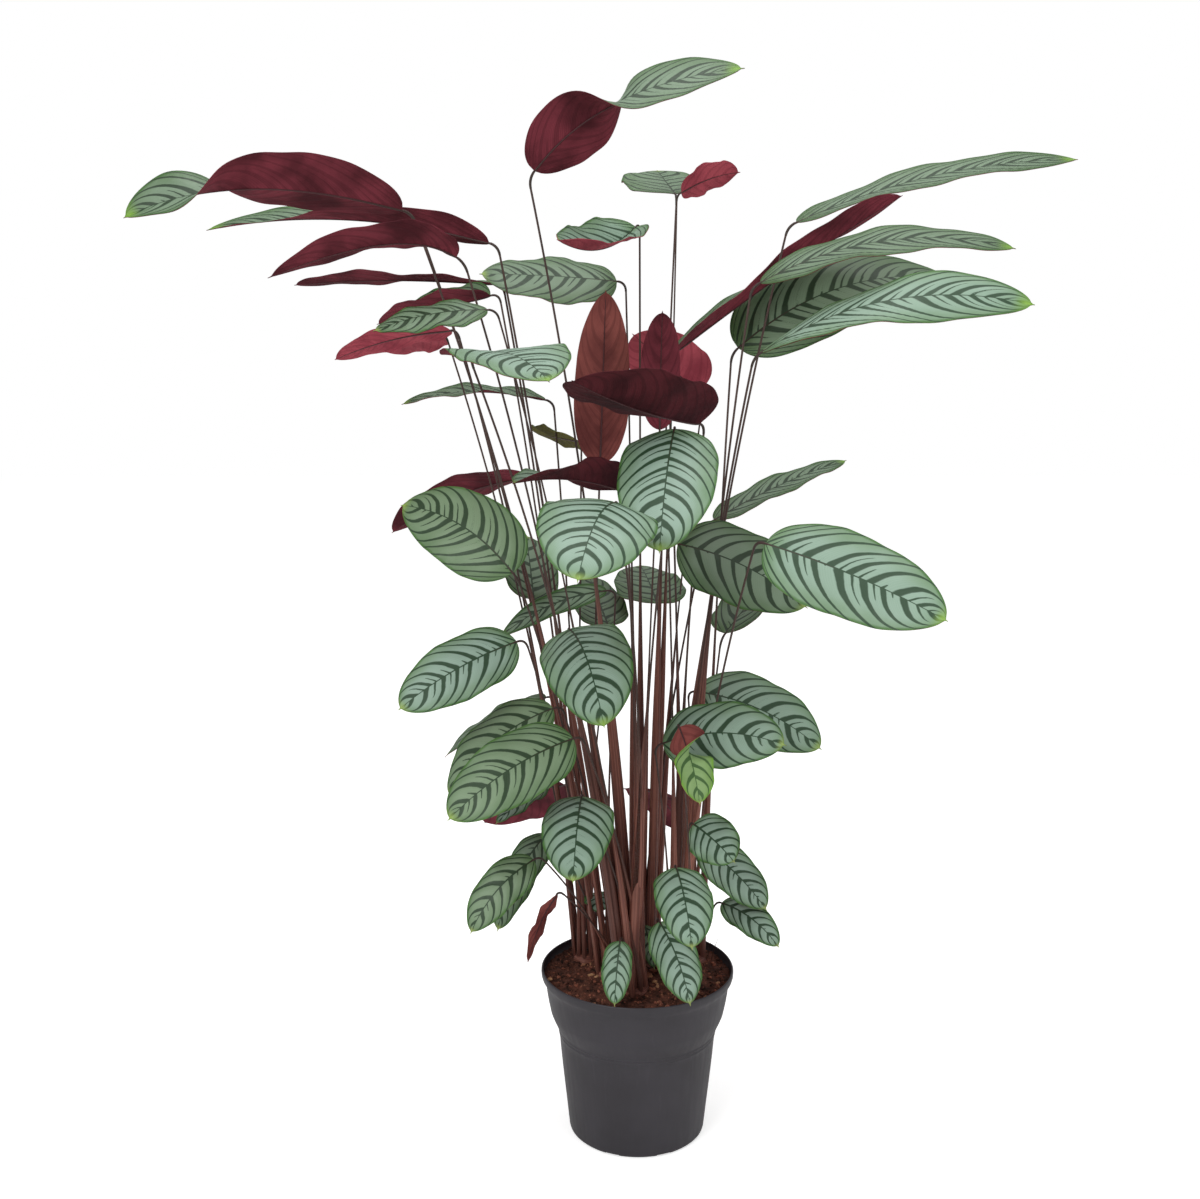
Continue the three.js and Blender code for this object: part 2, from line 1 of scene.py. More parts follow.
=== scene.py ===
"""The looks of a potted never never plant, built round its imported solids.

A grey nursery pot holds soil, and six leafy shoots stand in the soil. Each shoot is a clump of
sheathed petioles, and each petiole carries one patterned leaf on a short thick joint. The plans
of the shoots and leaves are in millimetres, and everything that Blender gets is in metres.
"""

import logging
import math
import random
from collections.abc import Callable, Iterator
from contextlib import contextmanager
from dataclasses import dataclass, field
from enum import Enum

import bpy
import numpy as np
from mathutils import Matrix, Vector, noise


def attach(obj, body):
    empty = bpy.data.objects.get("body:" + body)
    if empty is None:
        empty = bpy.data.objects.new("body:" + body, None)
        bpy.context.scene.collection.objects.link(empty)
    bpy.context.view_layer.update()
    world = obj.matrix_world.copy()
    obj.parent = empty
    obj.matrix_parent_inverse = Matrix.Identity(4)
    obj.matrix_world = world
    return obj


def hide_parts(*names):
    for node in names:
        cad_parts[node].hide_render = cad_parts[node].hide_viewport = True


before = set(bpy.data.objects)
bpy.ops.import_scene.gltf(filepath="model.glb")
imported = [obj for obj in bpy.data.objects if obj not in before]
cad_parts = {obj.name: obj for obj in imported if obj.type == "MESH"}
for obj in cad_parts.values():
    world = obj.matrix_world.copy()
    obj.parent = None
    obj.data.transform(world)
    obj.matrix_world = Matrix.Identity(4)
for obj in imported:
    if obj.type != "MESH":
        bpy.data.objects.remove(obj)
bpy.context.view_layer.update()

Xyz = tuple[float, float, float]
Rgb = tuple[int, int, int]
Span = tuple[float, float]

MM = 0.001
FULL_TURN = 2 * math.pi
SOIL_LEVEL = 181.0 * MM
BODY = "root"
UP = Vector((0.0, 0.0, 1.0))
log = logging.getLogger("plant")


class Slot(Enum):
    """The record's material slots."""

    POT = "pot"
    SOIL = "soil"
    STEM = "stem"
    LEAF = "leaf"


class FaceTone(Enum):
    """How the upper face of a leaf is coloured. The deep one is a deeper green that also holds painted shade
    for the leaves in shade.
    """

    SILVER = "silver"
    GREEN = "green"
    # a deeper green and painted shade: darker faces for deep green leaves and for leaves that stand in shade
    DEEP_AND_SHADED = "deep"
    YOUNG = "young"


class UndersideTone(Enum):
    """How the underside of a leaf is coloured. The rose and plum ones are lighter and darker copies of the
    burgundy one: painted light and painted shade.
    """

    BURGUNDY = "burgundy"
    # painted light: a lighter, pinker copy of the burgundy, for undersides that light shines through
    LIT_ROSE = "rose"
    # painted shade: a darker copy of the burgundy, for undersides in shade
    SHADED_PLUM = "plum"
    OLIVE = "olive"
    RUSSET = "russet"


@dataclass(frozen=True)
class ShootPlan:
    """Where a shoot stands on the soil and how thick its sheaths are, in millimetres."""

    name: str
    x: float
    y: float
    sheath: float


@dataclass(frozen=True)
class LeafPlan:
    """One leaf, from its base to its tip, in millimetres and degrees.

    turn tilts the blade about its midrib at the base and at the tip, and a positive turn lifts
    the left side. twist says over which part of the midrib the turn changes. arch lifts the middle
    of the midrib and bow moves it to the left, crest says how far along that middle lies, fold
    lifts both halves, and cup curls the margins up. sway moves the petiole's bend clear of its
    neighbours. A joined leaf is part of its shoot's solid.
    """

    name: str
    shoot: str
    base: Xyz
    tip: Xyz
    width: float
    turn: Span
    arch: float = 0.0
    crest: float = 0.5
    bow: float = 0.0
    fold: float = 0.0
    cup: float = 0.0
    sway: Span = (0.0, 0.0)
    twist: Span = (0.0, 1.0)
    joined: bool = False
    face: FaceTone = FaceTone.SILVER
    underside: UndersideTone = UndersideTone.BURGUNDY

    @property
    def node(self) -> str:
        """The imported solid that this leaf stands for."""
        return f"shoot_{self.shoot}" if self.joined else self.name


SHOOTS = [
    ShootPlan("left", -30, -6, 4.0),
    ShootPlan("front", -4, -46, 7.4),
    ShootPlan("right", 42, -16, 6.2),
    ShootPlan("back_left", -56, 36, 2.8),
    ShootPlan("back_right", 8, 42, 5.6),
    ShootPlan("far_right", 60, 32, 4.2),
]

LEAVES = [
    LeafPlan("leaf_top", "front", (-108, 40, 1037), (100, -20, 1128), 86,
             (-36, 40), arch=25, crest=0.4, fold=4, twist=(0.3, 0.65), face=FaceTone.DEEP_AND_SHADED),
    LeafPlan("leaf_high_left_1", "left", (-243, 30, 997), (-507, -40, 985), 80,
             (40, -45), arch=25, crest=0.6, fold=20, twist=(0.4, 0.85), face=FaceTone.DEEP_AND_SHADED),
    LeafPlan("leaf_high_left_2", "back_left", (-157, 60, 966), (-467, 120, 982), 60,
             (30, -25), arch=18, fold=16, face=FaceTone.DEEP_AND_SHADED),
    LeafPlan("leaf_high_left_3", "left", (-185, -10, 949), (-364, -60, 927), 62,
             (18, 30), arch=20, crest=0.25, fold=18),
    LeafPlan("leaf_high_left_4", "back_left", (-155, 105, 925), (-385, 175, 925), 54,
             (2, 18), arch=5, fold=8),
    LeafPlan("leaf_high_left_5", "front", (-152, -45, 897), (-261, -75, 876), 56,
             (-25, -25), arch=6, cup=-10, face=FaceTone.DEEP_AND_SHADED),
    LeafPlan("leaf_high_left_6", "back_left", (-156, 55, 912), (-281, 90, 882), 64,
             (-8, -8), arch=0, fold=34, face=FaceTone.DEEP_AND_SHADED),
    LeafPlan("leaf_high_left_7", "back_left", (-199, 60, 876), (-343, 180, 842), 36,
             (35, 40), arch=6, fold=8, underside=UndersideTone.LIT_ROSE),
    LeafPlan("leaf_high_left_8", "back_left", (-215, 110, 871), (-302, 215, 852), 56,
             (30, 30), arch=0, fold=8, joined=True, underside=UndersideTone.LIT_ROSE),
    LeafPlan("leaf_high_left_9", "back_left", (-260, 190, 1007), (-487, 260, 1039), 54,
             (20, 20), arch=0, fold=6),
    LeafPlan("leaf_mid_high_left", "front", (-165, -60, 851), (-85, -230, 834), 105,
             (0, 10), arch=14, fold=8, cup=-10),
    LeafPlan("leaf_edge_left", "back_left", (-103, 160, 798), (-269, 185, 791), 40,
             (-6, -20), arch=12, fold=10, face=FaceTone.DEEP_AND_SHADED),
    LeafPlan("leaf_high_middle_1", "back_right", (-23, 110, 928), (-170, 88, 935), 100,
             (-30, -28), arch=2, cup=-10, sway=(6, 10), face=FaceTone.DEEP_AND_SHADED),
    LeafPlan("leaf_high_middle_2", "back_right", (-3, 90, 984), (-83, -50, 964), 70,
             (-16, -16), arch=-16, fold=30, underside=UndersideTone.LIT_ROSE),
    LeafPlan("leaf_high_middle_3", "back_right", (39, 100, 1019), (24, 220, 1054), 100,
             (0, 0), arch=0, fold=6, cup=-10, face=FaceTone.DEEP_AND_SHADED),
    LeafPlan("leaf_high_middle_4", "back_right", (44, 70, 1018), (108, 100, 1041), 40,
             (-50, -50), arch=4, fold=6, sway=(14, 24), underside=UndersideTone.LIT_ROSE),
    LeafPlan("leaf_high_right_1", "right", (164, 60, 987), (466, 100, 1054), 56,
             (16, 30), arch=16, fold=4, face=FaceTone.DEEP_AND_SHADED),
    LeafPlan("leaf_high_right_2", "far_right", (38, 60, 853), (291, 150, 1021), 70,
             (-9, -40), arch=4, fold=20, face=FaceTone.DEEP_AND_SHADED),
    LeafPlan("leaf_high_right_3", "right", (121, 0, 924), (370, -30, 956), 66,
             (24, 26), arch=25, face=FaceTone.DEEP_AND_SHADED),
    LeafPlan("leaf_high_right_4", "far_right", (109, 100, 857), (350, 160, 932), 104,
             (55, 32), arch=28, face=FaceTone.DEEP_AND_SHADED),
    LeafPlan("leaf_high_right_5", "right", (120, -40, 856), (369, -110, 901), 70,
             (16, 58), arch=28, cup=-6, sway=(0, 25)),
    LeafPlan("leaf_side_right", "back_right", (89, 140, 664), (256, 260, 720), 42,
             (14, 14), arch=6, fold=4, face=FaceTone.DEEP_AND_SHADED),
    LeafPlan("leaf_right_1", "right", (115, -150, 680), (267, -250, 625), 88,
             (48, 48), arch=5, cup=-12, sway=(0, 30)),
    LeafPlan("leaf_right_2", "right", (38, -45, 664), (167, -75, 603), 92,
             (45, 45), arch=10, cup=-12, face=FaceTone.DEEP_AND_SHADED),
    LeafPlan("leaf_right_3", "far_right", (99, 90, 543), (195, 200, 608), 84,
             (-10, -10), arch=8, fold=6, face=FaceTone.DEEP_AND_SHADED),
    LeafPlan("leaf_right_4", "far_right", (64, 30, 491), (195, -10, 437), 84,
             (40, 40), arch=12, cup=-12),
    LeafPlan("leaf_right_5", "right", (23, -78, 464), (143, -122, 474), 76,
             (48, 48), arch=12, cup=-12),
    LeafPlan("leaf_young_curled", "right", (37, -130, 495), (55, -170, 428), 46,
             (-125, -5), arch=6, fold=10, sway=(6, -74), twist=(0.1, 0.55), face=FaceTone.YOUNG,
             underside=UndersideTone.RUSSET),
    LeafPlan("leaf_right_6", "back_right", (7, 95, 362), (60, 190, 274), 80,
             (0, 0), arch=10, cup=-10, face=FaceTone.DEEP_AND_SHADED),
    LeafPlan("leaf_low_right_1", "right", (55, -75, 377), (94, -130, 355), 50,
             (45, 45), arch=3, cup=-12),
    LeafPlan("leaf_low_right_2", "far_right", (68, 10, 324), (138, -30, 264), 50,
             (40, 40), arch=6, cup=-12),
    LeafPlan("leaf_low_right_3", "far_right", (92, 0, 261), (150, -50, 230), 36,
             (40, 40), arch=8, cup=-12, joined=True),
    LeafPlan("leaf_low_right_4", "right", (36, -110, 343), (48, -190, 289), 58,
             (0, 0), arch=10, cup=-12),
    LeafPlan("leaf_low_right_5", "right", (22, -60, 264), (52, -110, 193), 50,
             (10, 10), arch=8, cup=-10),
    LeafPlan("leaf_middle_1", "front", (-27, -190, 724), (-60, -320, 672), 104,
             (-12, -12), arch=18, cup=-14, sway=(24, 0)),
    LeafPlan("leaf_middle_2", "front", (32, -70, 782), (13, -200, 678), 96,
             (0, 0), arch=14, cup=-14),
    LeafPlan("leaf_middle_3", "right", (61, 0, 782), (-67, -170, 833), 114,
             (16, 18), arch=-6, fold=20, underside=UndersideTone.SHADED_PLUM),
    LeafPlan("leaf_middle_4", "back_left", (-41, 80, 733), (-35, 20, 917), 60,
             (0, 0), arch=0, fold=10, underside=UndersideTone.RUSSET),
    LeafPlan("leaf_middle_5", "back_right", (22, 40, 773), (22, -10, 896), 44,
             (0, 0), arch=10, fold=20),
    LeafPlan("leaf_middle_6", "back_right", (70, 160, 807), (-6, 110, 872), 80,
             (45, 45), arch=0, fold=4, underside=UndersideTone.LIT_ROSE),
    LeafPlan("leaf_middle_7", "front", (-21, -20, 716), (-125, -120, 733), 72,
             (28, 5), arch=8, fold=20, underside=UndersideTone.SHADED_PLUM),
    LeafPlan("leaf_middle_8", "back_left", (-65, 120, 755), (-115, 250, 752), 60,
             (30, 30), arch=0, joined=True, underside=UndersideTone.OLIVE),
    LeafPlan("leaf_middle_9", "front", (-72, -60, 579), (-37, -220, 519), 88,
             (18, 18), arch=18, cup=-12),
    LeafPlan("leaf_middle_10", "back_right", (22, 80, 579), (6, 200, 602), 80,
             (0, 0), arch=4, cup=-8, joined=True, face=FaceTone.DEEP_AND_SHADED),
    LeafPlan("leaf_middle_11", "back_left", (-32, 60, 558), (-54, 180, 593), 60,
             (0, 0), arch=0, cup=-8, joined=True, face=FaceTone.DEEP_AND_SHADED),
    LeafPlan("leaf_left_1", "left", (-130, -40, 633), (-252, 30, 694), 88,
             (-50, -50), arch=16, cup=-12, face=FaceTone.GREEN),
    LeafPlan("leaf_left_2", "back_left", (-121, 165, 710), (-290, 230, 636), 72,
             (20, 25), arch=12, fold=10),
    LeafPlan("leaf_left_3", "back_left", (-117, 150, 570), (-130, 250, 631), 66,
             (10, 10), arch=0, face=FaceTone.DEEP_AND_SHADED),
    LeafPlan("leaf_left_4", "left", (-34, 30, 602), (-148, 27, 552), 26,
             (-70, -60), arch=10, face=FaceTone.DEEP_AND_SHADED),
    LeafPlan("leaf_left_5", "left", (-128, -20, 557), (-245, -80, 499), 70,
             (-46, -46), arch=7, cup=-12),
    LeafPlan("leaf_left_6", "back_left", (-102, 95, 468), (-219, 110, 393), 48,
             (-8, -8), arch=12, sway=(16, 6), face=FaceTone.DEEP_AND_SHADED),
    LeafPlan("leaf_left_7", "left", (-90, -38, 490), (-198, -62, 401), 76,
             (-30, -30), arch=14, cup=-10, face=FaceTone.GREEN),
    LeafPlan("leaf_left_8", "front", (-68, -85, 471), (-190, -150, 406), 76,
             (-42, -42), arch=10, cup=-12, face=FaceTone.GREEN),
    LeafPlan("leaf_left_9", "back_left", (-81, 80, 370), (-182, 200, 283), 90,
             (40, 40), arch=10),
    LeafPlan("leaf_left_10", "back_left", (-98, 20, 389), (-153, -20, 357), 30,
             (-10, -10), arch=4, joined=True),
    LeafPlan("leaf_low_left_1", "front", (-60, -70, 405), (-67, -190, 357), 72,
             (0, 0), arch=12, cup=-12),
    LeafPlan("leaf_low_left_2", "left", (-111, -50, 329), (-175, -90, 263), 46,
             (-40, -40), arch=10, cup=-12, face=FaceTone.GREEN),
    LeafPlan("leaf_low_left_3", "left", (-100, 15, 334), (-152, -20, 236), 46,
             (-20, -20), arch=10, cup=-12, face=FaceTone.DEEP_AND_SHADED),
    LeafPlan("small_low_left_1", "left", (-87, -60, 294), (-120, -10, 196), 17,
             (0, 0), arch=6, joined=True, underside=UndersideTone.RUSSET),
    LeafPlan("small_low_left_2", "left", (-46, 10, 269), (-41, -12, 252), 30,
             (0, 0), arch=4, joined=True),
    LeafPlan("small_front", "front", (-20, -75, 249), (-26, -105, 190), 32,
             (0, 0), arch=5, fold=10, cup=-10, joined=True),
    LeafPlan("small_right", "back_right", (8, 10, 231), (18, -20, 192), 24,
             (0, 0), arch=4, joined=True, face=FaceTone.DEEP_AND_SHADED),
]


def place(point: Xyz) -> np.ndarray:
    """A point of the plans, in metres."""
    return np.array(point, float) * MM


def smoothstep(value: np.ndarray | float, low: float, high: float) -> np.ndarray:
    """A smooth rise from 0 at low to 1 at high."""
    part = np.clip((value - low) / (high - low), 0.0, 1.0)
    return part * part * (3.0 - 2.0 * part)


def unit(vectors: np.ndarray) -> np.ndarray:
    """The vectors along the last axis, at length 1."""
    return vectors / np.linalg.norm(vectors, axis=-1, keepdims=True)


def on_ring(index: int, count: int, radius: float, start: float = 0.0) -> tuple[float, float, float]:
    """The direction, x and y of one of the places that are spaced evenly on a level ring."""
    angle = (index + 0.5) * FULL_TURN / count + start
    return angle, radius * math.cos(angle), radius * math.sin(angle)


@dataclass(frozen=True)
class Arc:
    """A smooth curve from start to end that is drawn towards corner, in metres."""

    start: np.ndarray
    corner: np.ndarray
    end: np.ndarray

    def points(self, parts: np.ndarray) -> np.ndarray:
        """The points at these parts of the way, each from 0 to 1."""
        part = parts[:, None]
        return (1 - part) ** 2 * self.start + 2 * (1 - part) * part * self.corner + part**2 * self.end

    def directions(self, parts: np.ndarray) -> np.ndarray:
        """The unit directions at these parts of the way, each from 0 to 1."""
        part = parts[:, None]
        return unit((1 - part) * (self.corner - self.start) + part * (self.end - self.corner))

    def length(self, steps: int = 100) -> float:
        """The length of the curve, measured in short steps."""
        points = self.points(np.linspace(0.0, 1.0, steps + 1))
        return float(np.linalg.norm(np.diff(points, axis=0), axis=1).sum())


@contextmanager
def edit_mode() -> Iterator[None]:
    """Edit mode on the active object with all of it selected, and then Object mode again."""
    bpy.ops.object.mode_set(mode="EDIT")
    bpy.ops.mesh.select_all(action="SELECT")
    yield
    bpy.ops.object.mode_set(mode="OBJECT")


class Modeller:
    """Short forms of the modelling operators that every piece uses."""

    @staticmethod
    def pick(*pieces: bpy.types.Object) -> None:
        """Selects only these pieces and makes the first one active."""
        bpy.ops.object.select_all(action="DESELECT")
        for piece in pieces:
            piece.select_set(True)
        bpy.context.view_layer.objects.active = pieces[0]

    @staticmethod
    def named(name: str) -> bpy.types.Object:
        """Names the active object and its data."""
        piece = bpy.context.active_object
        piece.name = piece.data.name = name
        return piece

    @staticmethod
    def add(name: str, operator: Callable[..., set[str]], **settings: object) -> bpy.types.Object:
        """Adds a primitive, a light or the camera, with nothing else selected.

        Args:
            name: the name for the object and its data.
            operator: what adds it.
            settings: the operator's settings.

        Returns:
            The new object.
        """
        bpy.ops.object.select_all(action="DESELECT")
        operator(**settings)
        return Modeller.named(name)

    @staticmethod
    def grid(name: str, columns: int, rows: int) -> bpy.types.Object:
        """Adds a level grid of side 1 round the origin, with columns along X and rows along Y."""
        return Modeller.add(name, bpy.ops.mesh.primitive_grid_add,
                            x_subdivisions=columns, y_subdivisions=rows, size=1.0)

    @staticmethod
    def read(piece: bpy.types.Object) -> np.ndarray:
        """The piece's vertices, one to a row."""
        flat = np.empty(len(piece.data.vertices) * 3)
        piece.data.vertices.foreach_get("co", flat)
        return flat.reshape(-1, 3)

    @staticmethod
    def write(piece: bpy.types.Object, points: np.ndarray) -> None:
        """Moves the piece's vertices to these points, one to a row."""
        piece.data.vertices.foreach_set("co", points.ravel())
        piece.data.update()

    @staticmethod
    def corner_map(piece: bpy.types.Object, name: str, values: np.ndarray) -> None:
        """Gives the piece a UV map with two numbers for each face corner."""
        layer = piece.data.uv_layers.get(name) or piece.data.uv_layers.new(name=name)
        layer.data.foreach_set("uv", values.astype(np.float32).ravel())

    @staticmethod
    def tone(piece: bpy.types.Object, values: np.ndarray | float, name: str = "tone") -> None:
        """Gives the piece's vertices a number that its material reads.

        Args:
            piece: a mesh object.
            values: one number for each vertex, or one for them all.
            name: the attribute's name.
        """
        every = np.broadcast_to(values, len(piece.data.vertices))
        layer = piece.data.attributes.new(name, "FLOAT", "POINT")
        layer.data.foreach_set("value", every.astype(np.float32))

    @staticmethod
    def apply(piece: bpy.types.Object, kind: str, **settings: object) -> None:
        """Adds a modifier and applies it.

        Args:
            piece: a mesh object.
            kind: the modifier's type.
            settings: the modifier's settings.
        """
        Modeller.pick(piece)
        modifier = piece.modifiers.new(kind.lower(), kind)
        for key, value in settings.items():
            setattr(modifier, key, value)
        bpy.ops.object.modifier_apply(modifier=modifier.name)

    @staticmethod
    def weld(piece: bpy.types.Object, close: bool, gap: float = 0.02 * MM) -> None:
        """Merges doubled vertices and turns the faces outwards.

        Args:
            piece: a mesh object.
            close: whether open ends are filled.
            gap: how far apart doubled vertices lie at most, in metres.
        """
        Modeller.pick(piece)
        with edit_mode():
            bpy.ops.mesh.remove_doubles(threshold=gap)
            if close:
                bpy.ops.mesh.fill_holes(sides=0)
            bpy.ops.mesh.select_all(action="SELECT")
            bpy.ops.mesh.normals_make_consistent(inside=False)

    @staticmethod
    def join(name: str, pieces: list[bpy.types.Object]) -> bpy.types.Object:
        """Joins pieces into one object, with the material slots of the first one first."""
        Modeller.pick(*pieces)
        bpy.ops.object.join()
        return Modeller.named(name)

    @staticmethod
    def dress(piece: bpy.types.Object, slot: Slot, node: str, material: bpy.types.Material | None = None,
              crisp: float | None = 50.0) -> bpy.types.Object:
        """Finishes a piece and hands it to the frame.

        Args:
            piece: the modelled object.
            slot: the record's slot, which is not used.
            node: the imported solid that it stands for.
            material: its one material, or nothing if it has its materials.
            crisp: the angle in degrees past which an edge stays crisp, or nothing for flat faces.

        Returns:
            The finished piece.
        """
        if material:
            piece.data.materials.clear()
            piece.data.materials.append(material)
        if crisp:
            Modeller.pick(piece)
            bpy.ops.object.shade_smooth_by_angle(angle=math.radians(crisp))
        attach(piece, BODY)
        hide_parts(node)
        return piece


def tube(name: str, points: np.ndarray, radii: np.ndarray, sides: int, seam: float = 0.0,
         furrow: np.ndarray | float = 0.0, furrow_angle: float = 0.45) -> bpy.types.Object:
    """A closed round rod that follows a row of points.

    The grid's X runs along the rod and its Y runs round it, so its UV map follows the rod.

    Args:
        name: the name for the object.
        points: the middle of each ring, in metres.
        radii: the radius of each ring, in metres.
        sides: how many sides a ring has.
        seam: the turn of the rings about the rod, in radians.
        furrow: how deep a furrow runs along the rod, as a share of the radius.
        furrow_angle: how wide the furrow is, in radians.

    Returns:
        The rod.
    """
    rod = Modeller.grid(name, len(points) - 1, sides)
    flat = Modeller.read(rod)
    ring = np.rint((flat[:, 0] + 0.5) * (len(points) - 1)).astype(int)
    angle = (0.5 - flat[:, 1]) * FULL_TURN
    ahead = unit(np.gradient(points, axis=0))
    across = np.array([UP.rotation_difference(Vector(way)) @ Vector((1.0, 0.0, 0.0)) for way in ahead])
    beside = np.cross(ahead, across)
    deep = np.broadcast_to(furrow, len(points))[ring] * np.exp(-((angle / furrow_angle) ** 2))
    radius = radii[ring] * (1.0 - deep)
    spin = angle + seam
    Modeller.write(rod, points[ring]
                   + across[ring] * (radius * np.cos(spin))[:, None]
                   + beside[ring] * (radius * np.sin(spin))[:, None])
    rod.data.uv_layers[0].name = "blade"
    Modeller.weld(rod, close=True)
    return rod


BLACK = (0, 0, 0)
WHITE = (255, 255, 255)


def linear(colour: "Rgb | Wire") -> "tuple[float, ...] | Wire":
    """A screen colour as Blender's linear colour, or a wire as it is.

    Args:
        colour: red, green and blue from 0 to 255, or a wire.

    Returns:
        The linear colour with full alpha, or the wire.
    """
    if isinstance(colour, Wire):
        return colour
    channels = [value / 255.0 for value in colour]
    return (*(value / 12.92 if value <= 0.04045 else ((value + 0.055) / 1.055) ** 2.4
              for value in channels), 1.0)


@dataclass(frozen=True)
class Wire:
    """A node's output, which takes part in sums as a number does."""

    graph: "Graph"
    socket: bpy.types.NodeSocket

    def __add__(self, other: "Wire | float") -> "Wire":
        """The sum of both."""
        return self.graph.math("ADD", self, other)

    def __sub__(self, other: "Wire | float") -> "Wire":
        """This less the other."""
        return self.graph.math("SUBTRACT", self, other)

    def __rsub__(self, other: float) -> "Wire":
        """A number less this."""
        return self.graph.math("SUBTRACT", other, self)

    def __mul__(self, other: "Wire | float") -> "Wire":
        """The product of both."""
        return self.graph.math("MULTIPLY", self, other)

    def __truediv__(self, other: "Wire | float") -> "Wire":
        """This over the other."""
        return self.graph.math("DIVIDE", self, other)

    def __abs__(self) -> "Wire":
        """The value without its sign."""
        return self.graph.math("ABSOLUTE", self)


class Graph:
    """Short forms for the nodes of a material or a node group."""

    def __init__(self, tree: bpy.types.NodeTree) -> None:
        """Works in this node tree."""
        self.tree = tree

    def feed(self, socket: bpy.types.NodeSocket, value: object) -> None:
        """Links an input to a wire, or sets it to a plain value.

        Args:
            socket: the input.
            value: a wire, a number, a vector or a colour.
        """
        if isinstance(value, Wire):
            self.tree.links.new(value.socket, socket)
        else:
            socket.default_value = value

    def node(self, kind: str, inputs: dict[str | int, object], **settings: object) -> bpy.types.Node:
        """Adds a node.

        Args:
            kind: the node's type.
            inputs: a wire or a plain value for each input, by its name or place.
            settings: the node's own settings.

        Returns:
            The node.
        """
        made = self.tree.nodes.new(kind)
        for key, value in settings.items():
            setattr(made, key, value)
        for key, value in inputs.items():
            self.feed(made.inputs[key], value)
        return made

    def wire(self, kind: str, inputs: dict[str | int, object], output: str | int = 0,
             **settings: object) -> Wire:
        """Adds a node, as the method above does, and takes one of its outputs."""
        return Wire(self, self.node(kind, inputs, **settings).outputs[output])

    def math(self, operation: str, *values: Wire | float) -> Wire:
        """A Math node with these values."""
        return self.wire("ShaderNodeMath", dict(enumerate(values)), operation=operation)

    def rise(self, value: Wire, between: tuple[Wire | float, Wire | float], to: Span = (0.0, 1.0)) -> Wire:
        """A smooth rise or fall.

        Args:
            value: where to read it.
            between: where it starts and ends.
            to: the results at its start and its end.

        Returns:
            The result.
        """
        ends = dict(zip(("From Min", "From Max", "To Min", "To Max"), (*between, *to)))
        return self.wire("ShaderNodeMapRange", {"Value": value, **ends}, interpolation_type="SMOOTHSTEP")

    def blend(self, share: Wire, first: Rgb | Wire, second: Rgb | Wire) -> Wire:
        """A mix of two colours, of which share is how much of the second one."""
        inputs = {0: share, 6: linear(first), 7: linear(second)}
        return self.wire("ShaderNodeMix", inputs, output=2, data_type="RGBA")

    def coats(self, ground: Rgb | Wire, *coats: tuple[Wire, Rgb | Wire]) -> Wire:
        """Coats of colour over a ground.

        Args:
            ground: the colour below them.
            coats: how much each coat covers, and its colour.

        Returns:
            The last colour.
        """
        for share, colour in coats:
            ground = self.blend(share, ground, colour)
        return ground

    def vector(self, *parts: Wire) -> Wire:
        """A vector of three numbers."""
        return self.wire("ShaderNodeCombineXYZ", dict(enumerate(parts)))

    def spot(self) -> Wire:
        """The place on the piece, in Object coordinates."""
        return self.wire("ShaderNodeTexCoord", {}, output="Object")

    def noise(self, spot: Wire, scale: Wire | float, detail: float = 3.0) -> Wire:
        """A soft noise between 0 and 1 with scale bumps to a unit and detail finer layers."""
        inputs = {"Vector": spot, "Scale": scale, "Detail": detail}
        return self.wire("ShaderNodeTexNoise", inputs, output="Fac")

    def speckle(self, value: Wire) -> Wire:
        """A random number between 0 and 1 for each value."""
        return self.wire("ShaderNodeTexWhiteNoise", {"W": value}, output="Value", noise_dimensions="1D")

    def map(self, name: str) -> tuple[Wire, Wire]:
        """The two numbers of a UV map."""
        parts = self.node("ShaderNodeSeparateXYZ", {0: self.wire("ShaderNodeUVMap", {}, uv_map=name)})
        return Wire(self, parts.outputs[0]), Wire(self, parts.outputs[1])

    def tone(self, name: str = "tone") -> Wire:
        """A number that a piece holds."""
        return self.wire("ShaderNodeAttribute", {}, output="Fac", attribute_name=name)


class Effect(Graph):
    """A shader node group whose sockets all carry numbers."""

    def __init__(self, name: str, inputs: dict[str, float], outputs: tuple[str, ...]) -> None:
        """Makes the sockets.

        Args:
            name: the group's name.
            inputs: the value of each named input.
            outputs: the names of the outputs.
        """
        super().__init__(bpy.data.node_groups.new(name, "ShaderNodeTree"))
        kind = "NodeSocketFloat"
        for key, value in inputs.items():
            made = self.tree.interface.new_socket(key, in_out="INPUT", socket_type=kind)
            made.default_value = value
        for key in outputs:
            self.tree.interface.new_socket(key, in_out="OUTPUT", socket_type=kind)
        source = self.tree.nodes.new("NodeGroupInput")
        self.given = {key: Wire(self, source.outputs[key]) for key in inputs}
        self.result = self.tree.nodes.new("NodeGroupOutput")

    def give(self, name: str, value: Wire) -> None:
        """Puts out a value under one of the group's names."""
        self.feed(self.result.inputs[name], value)


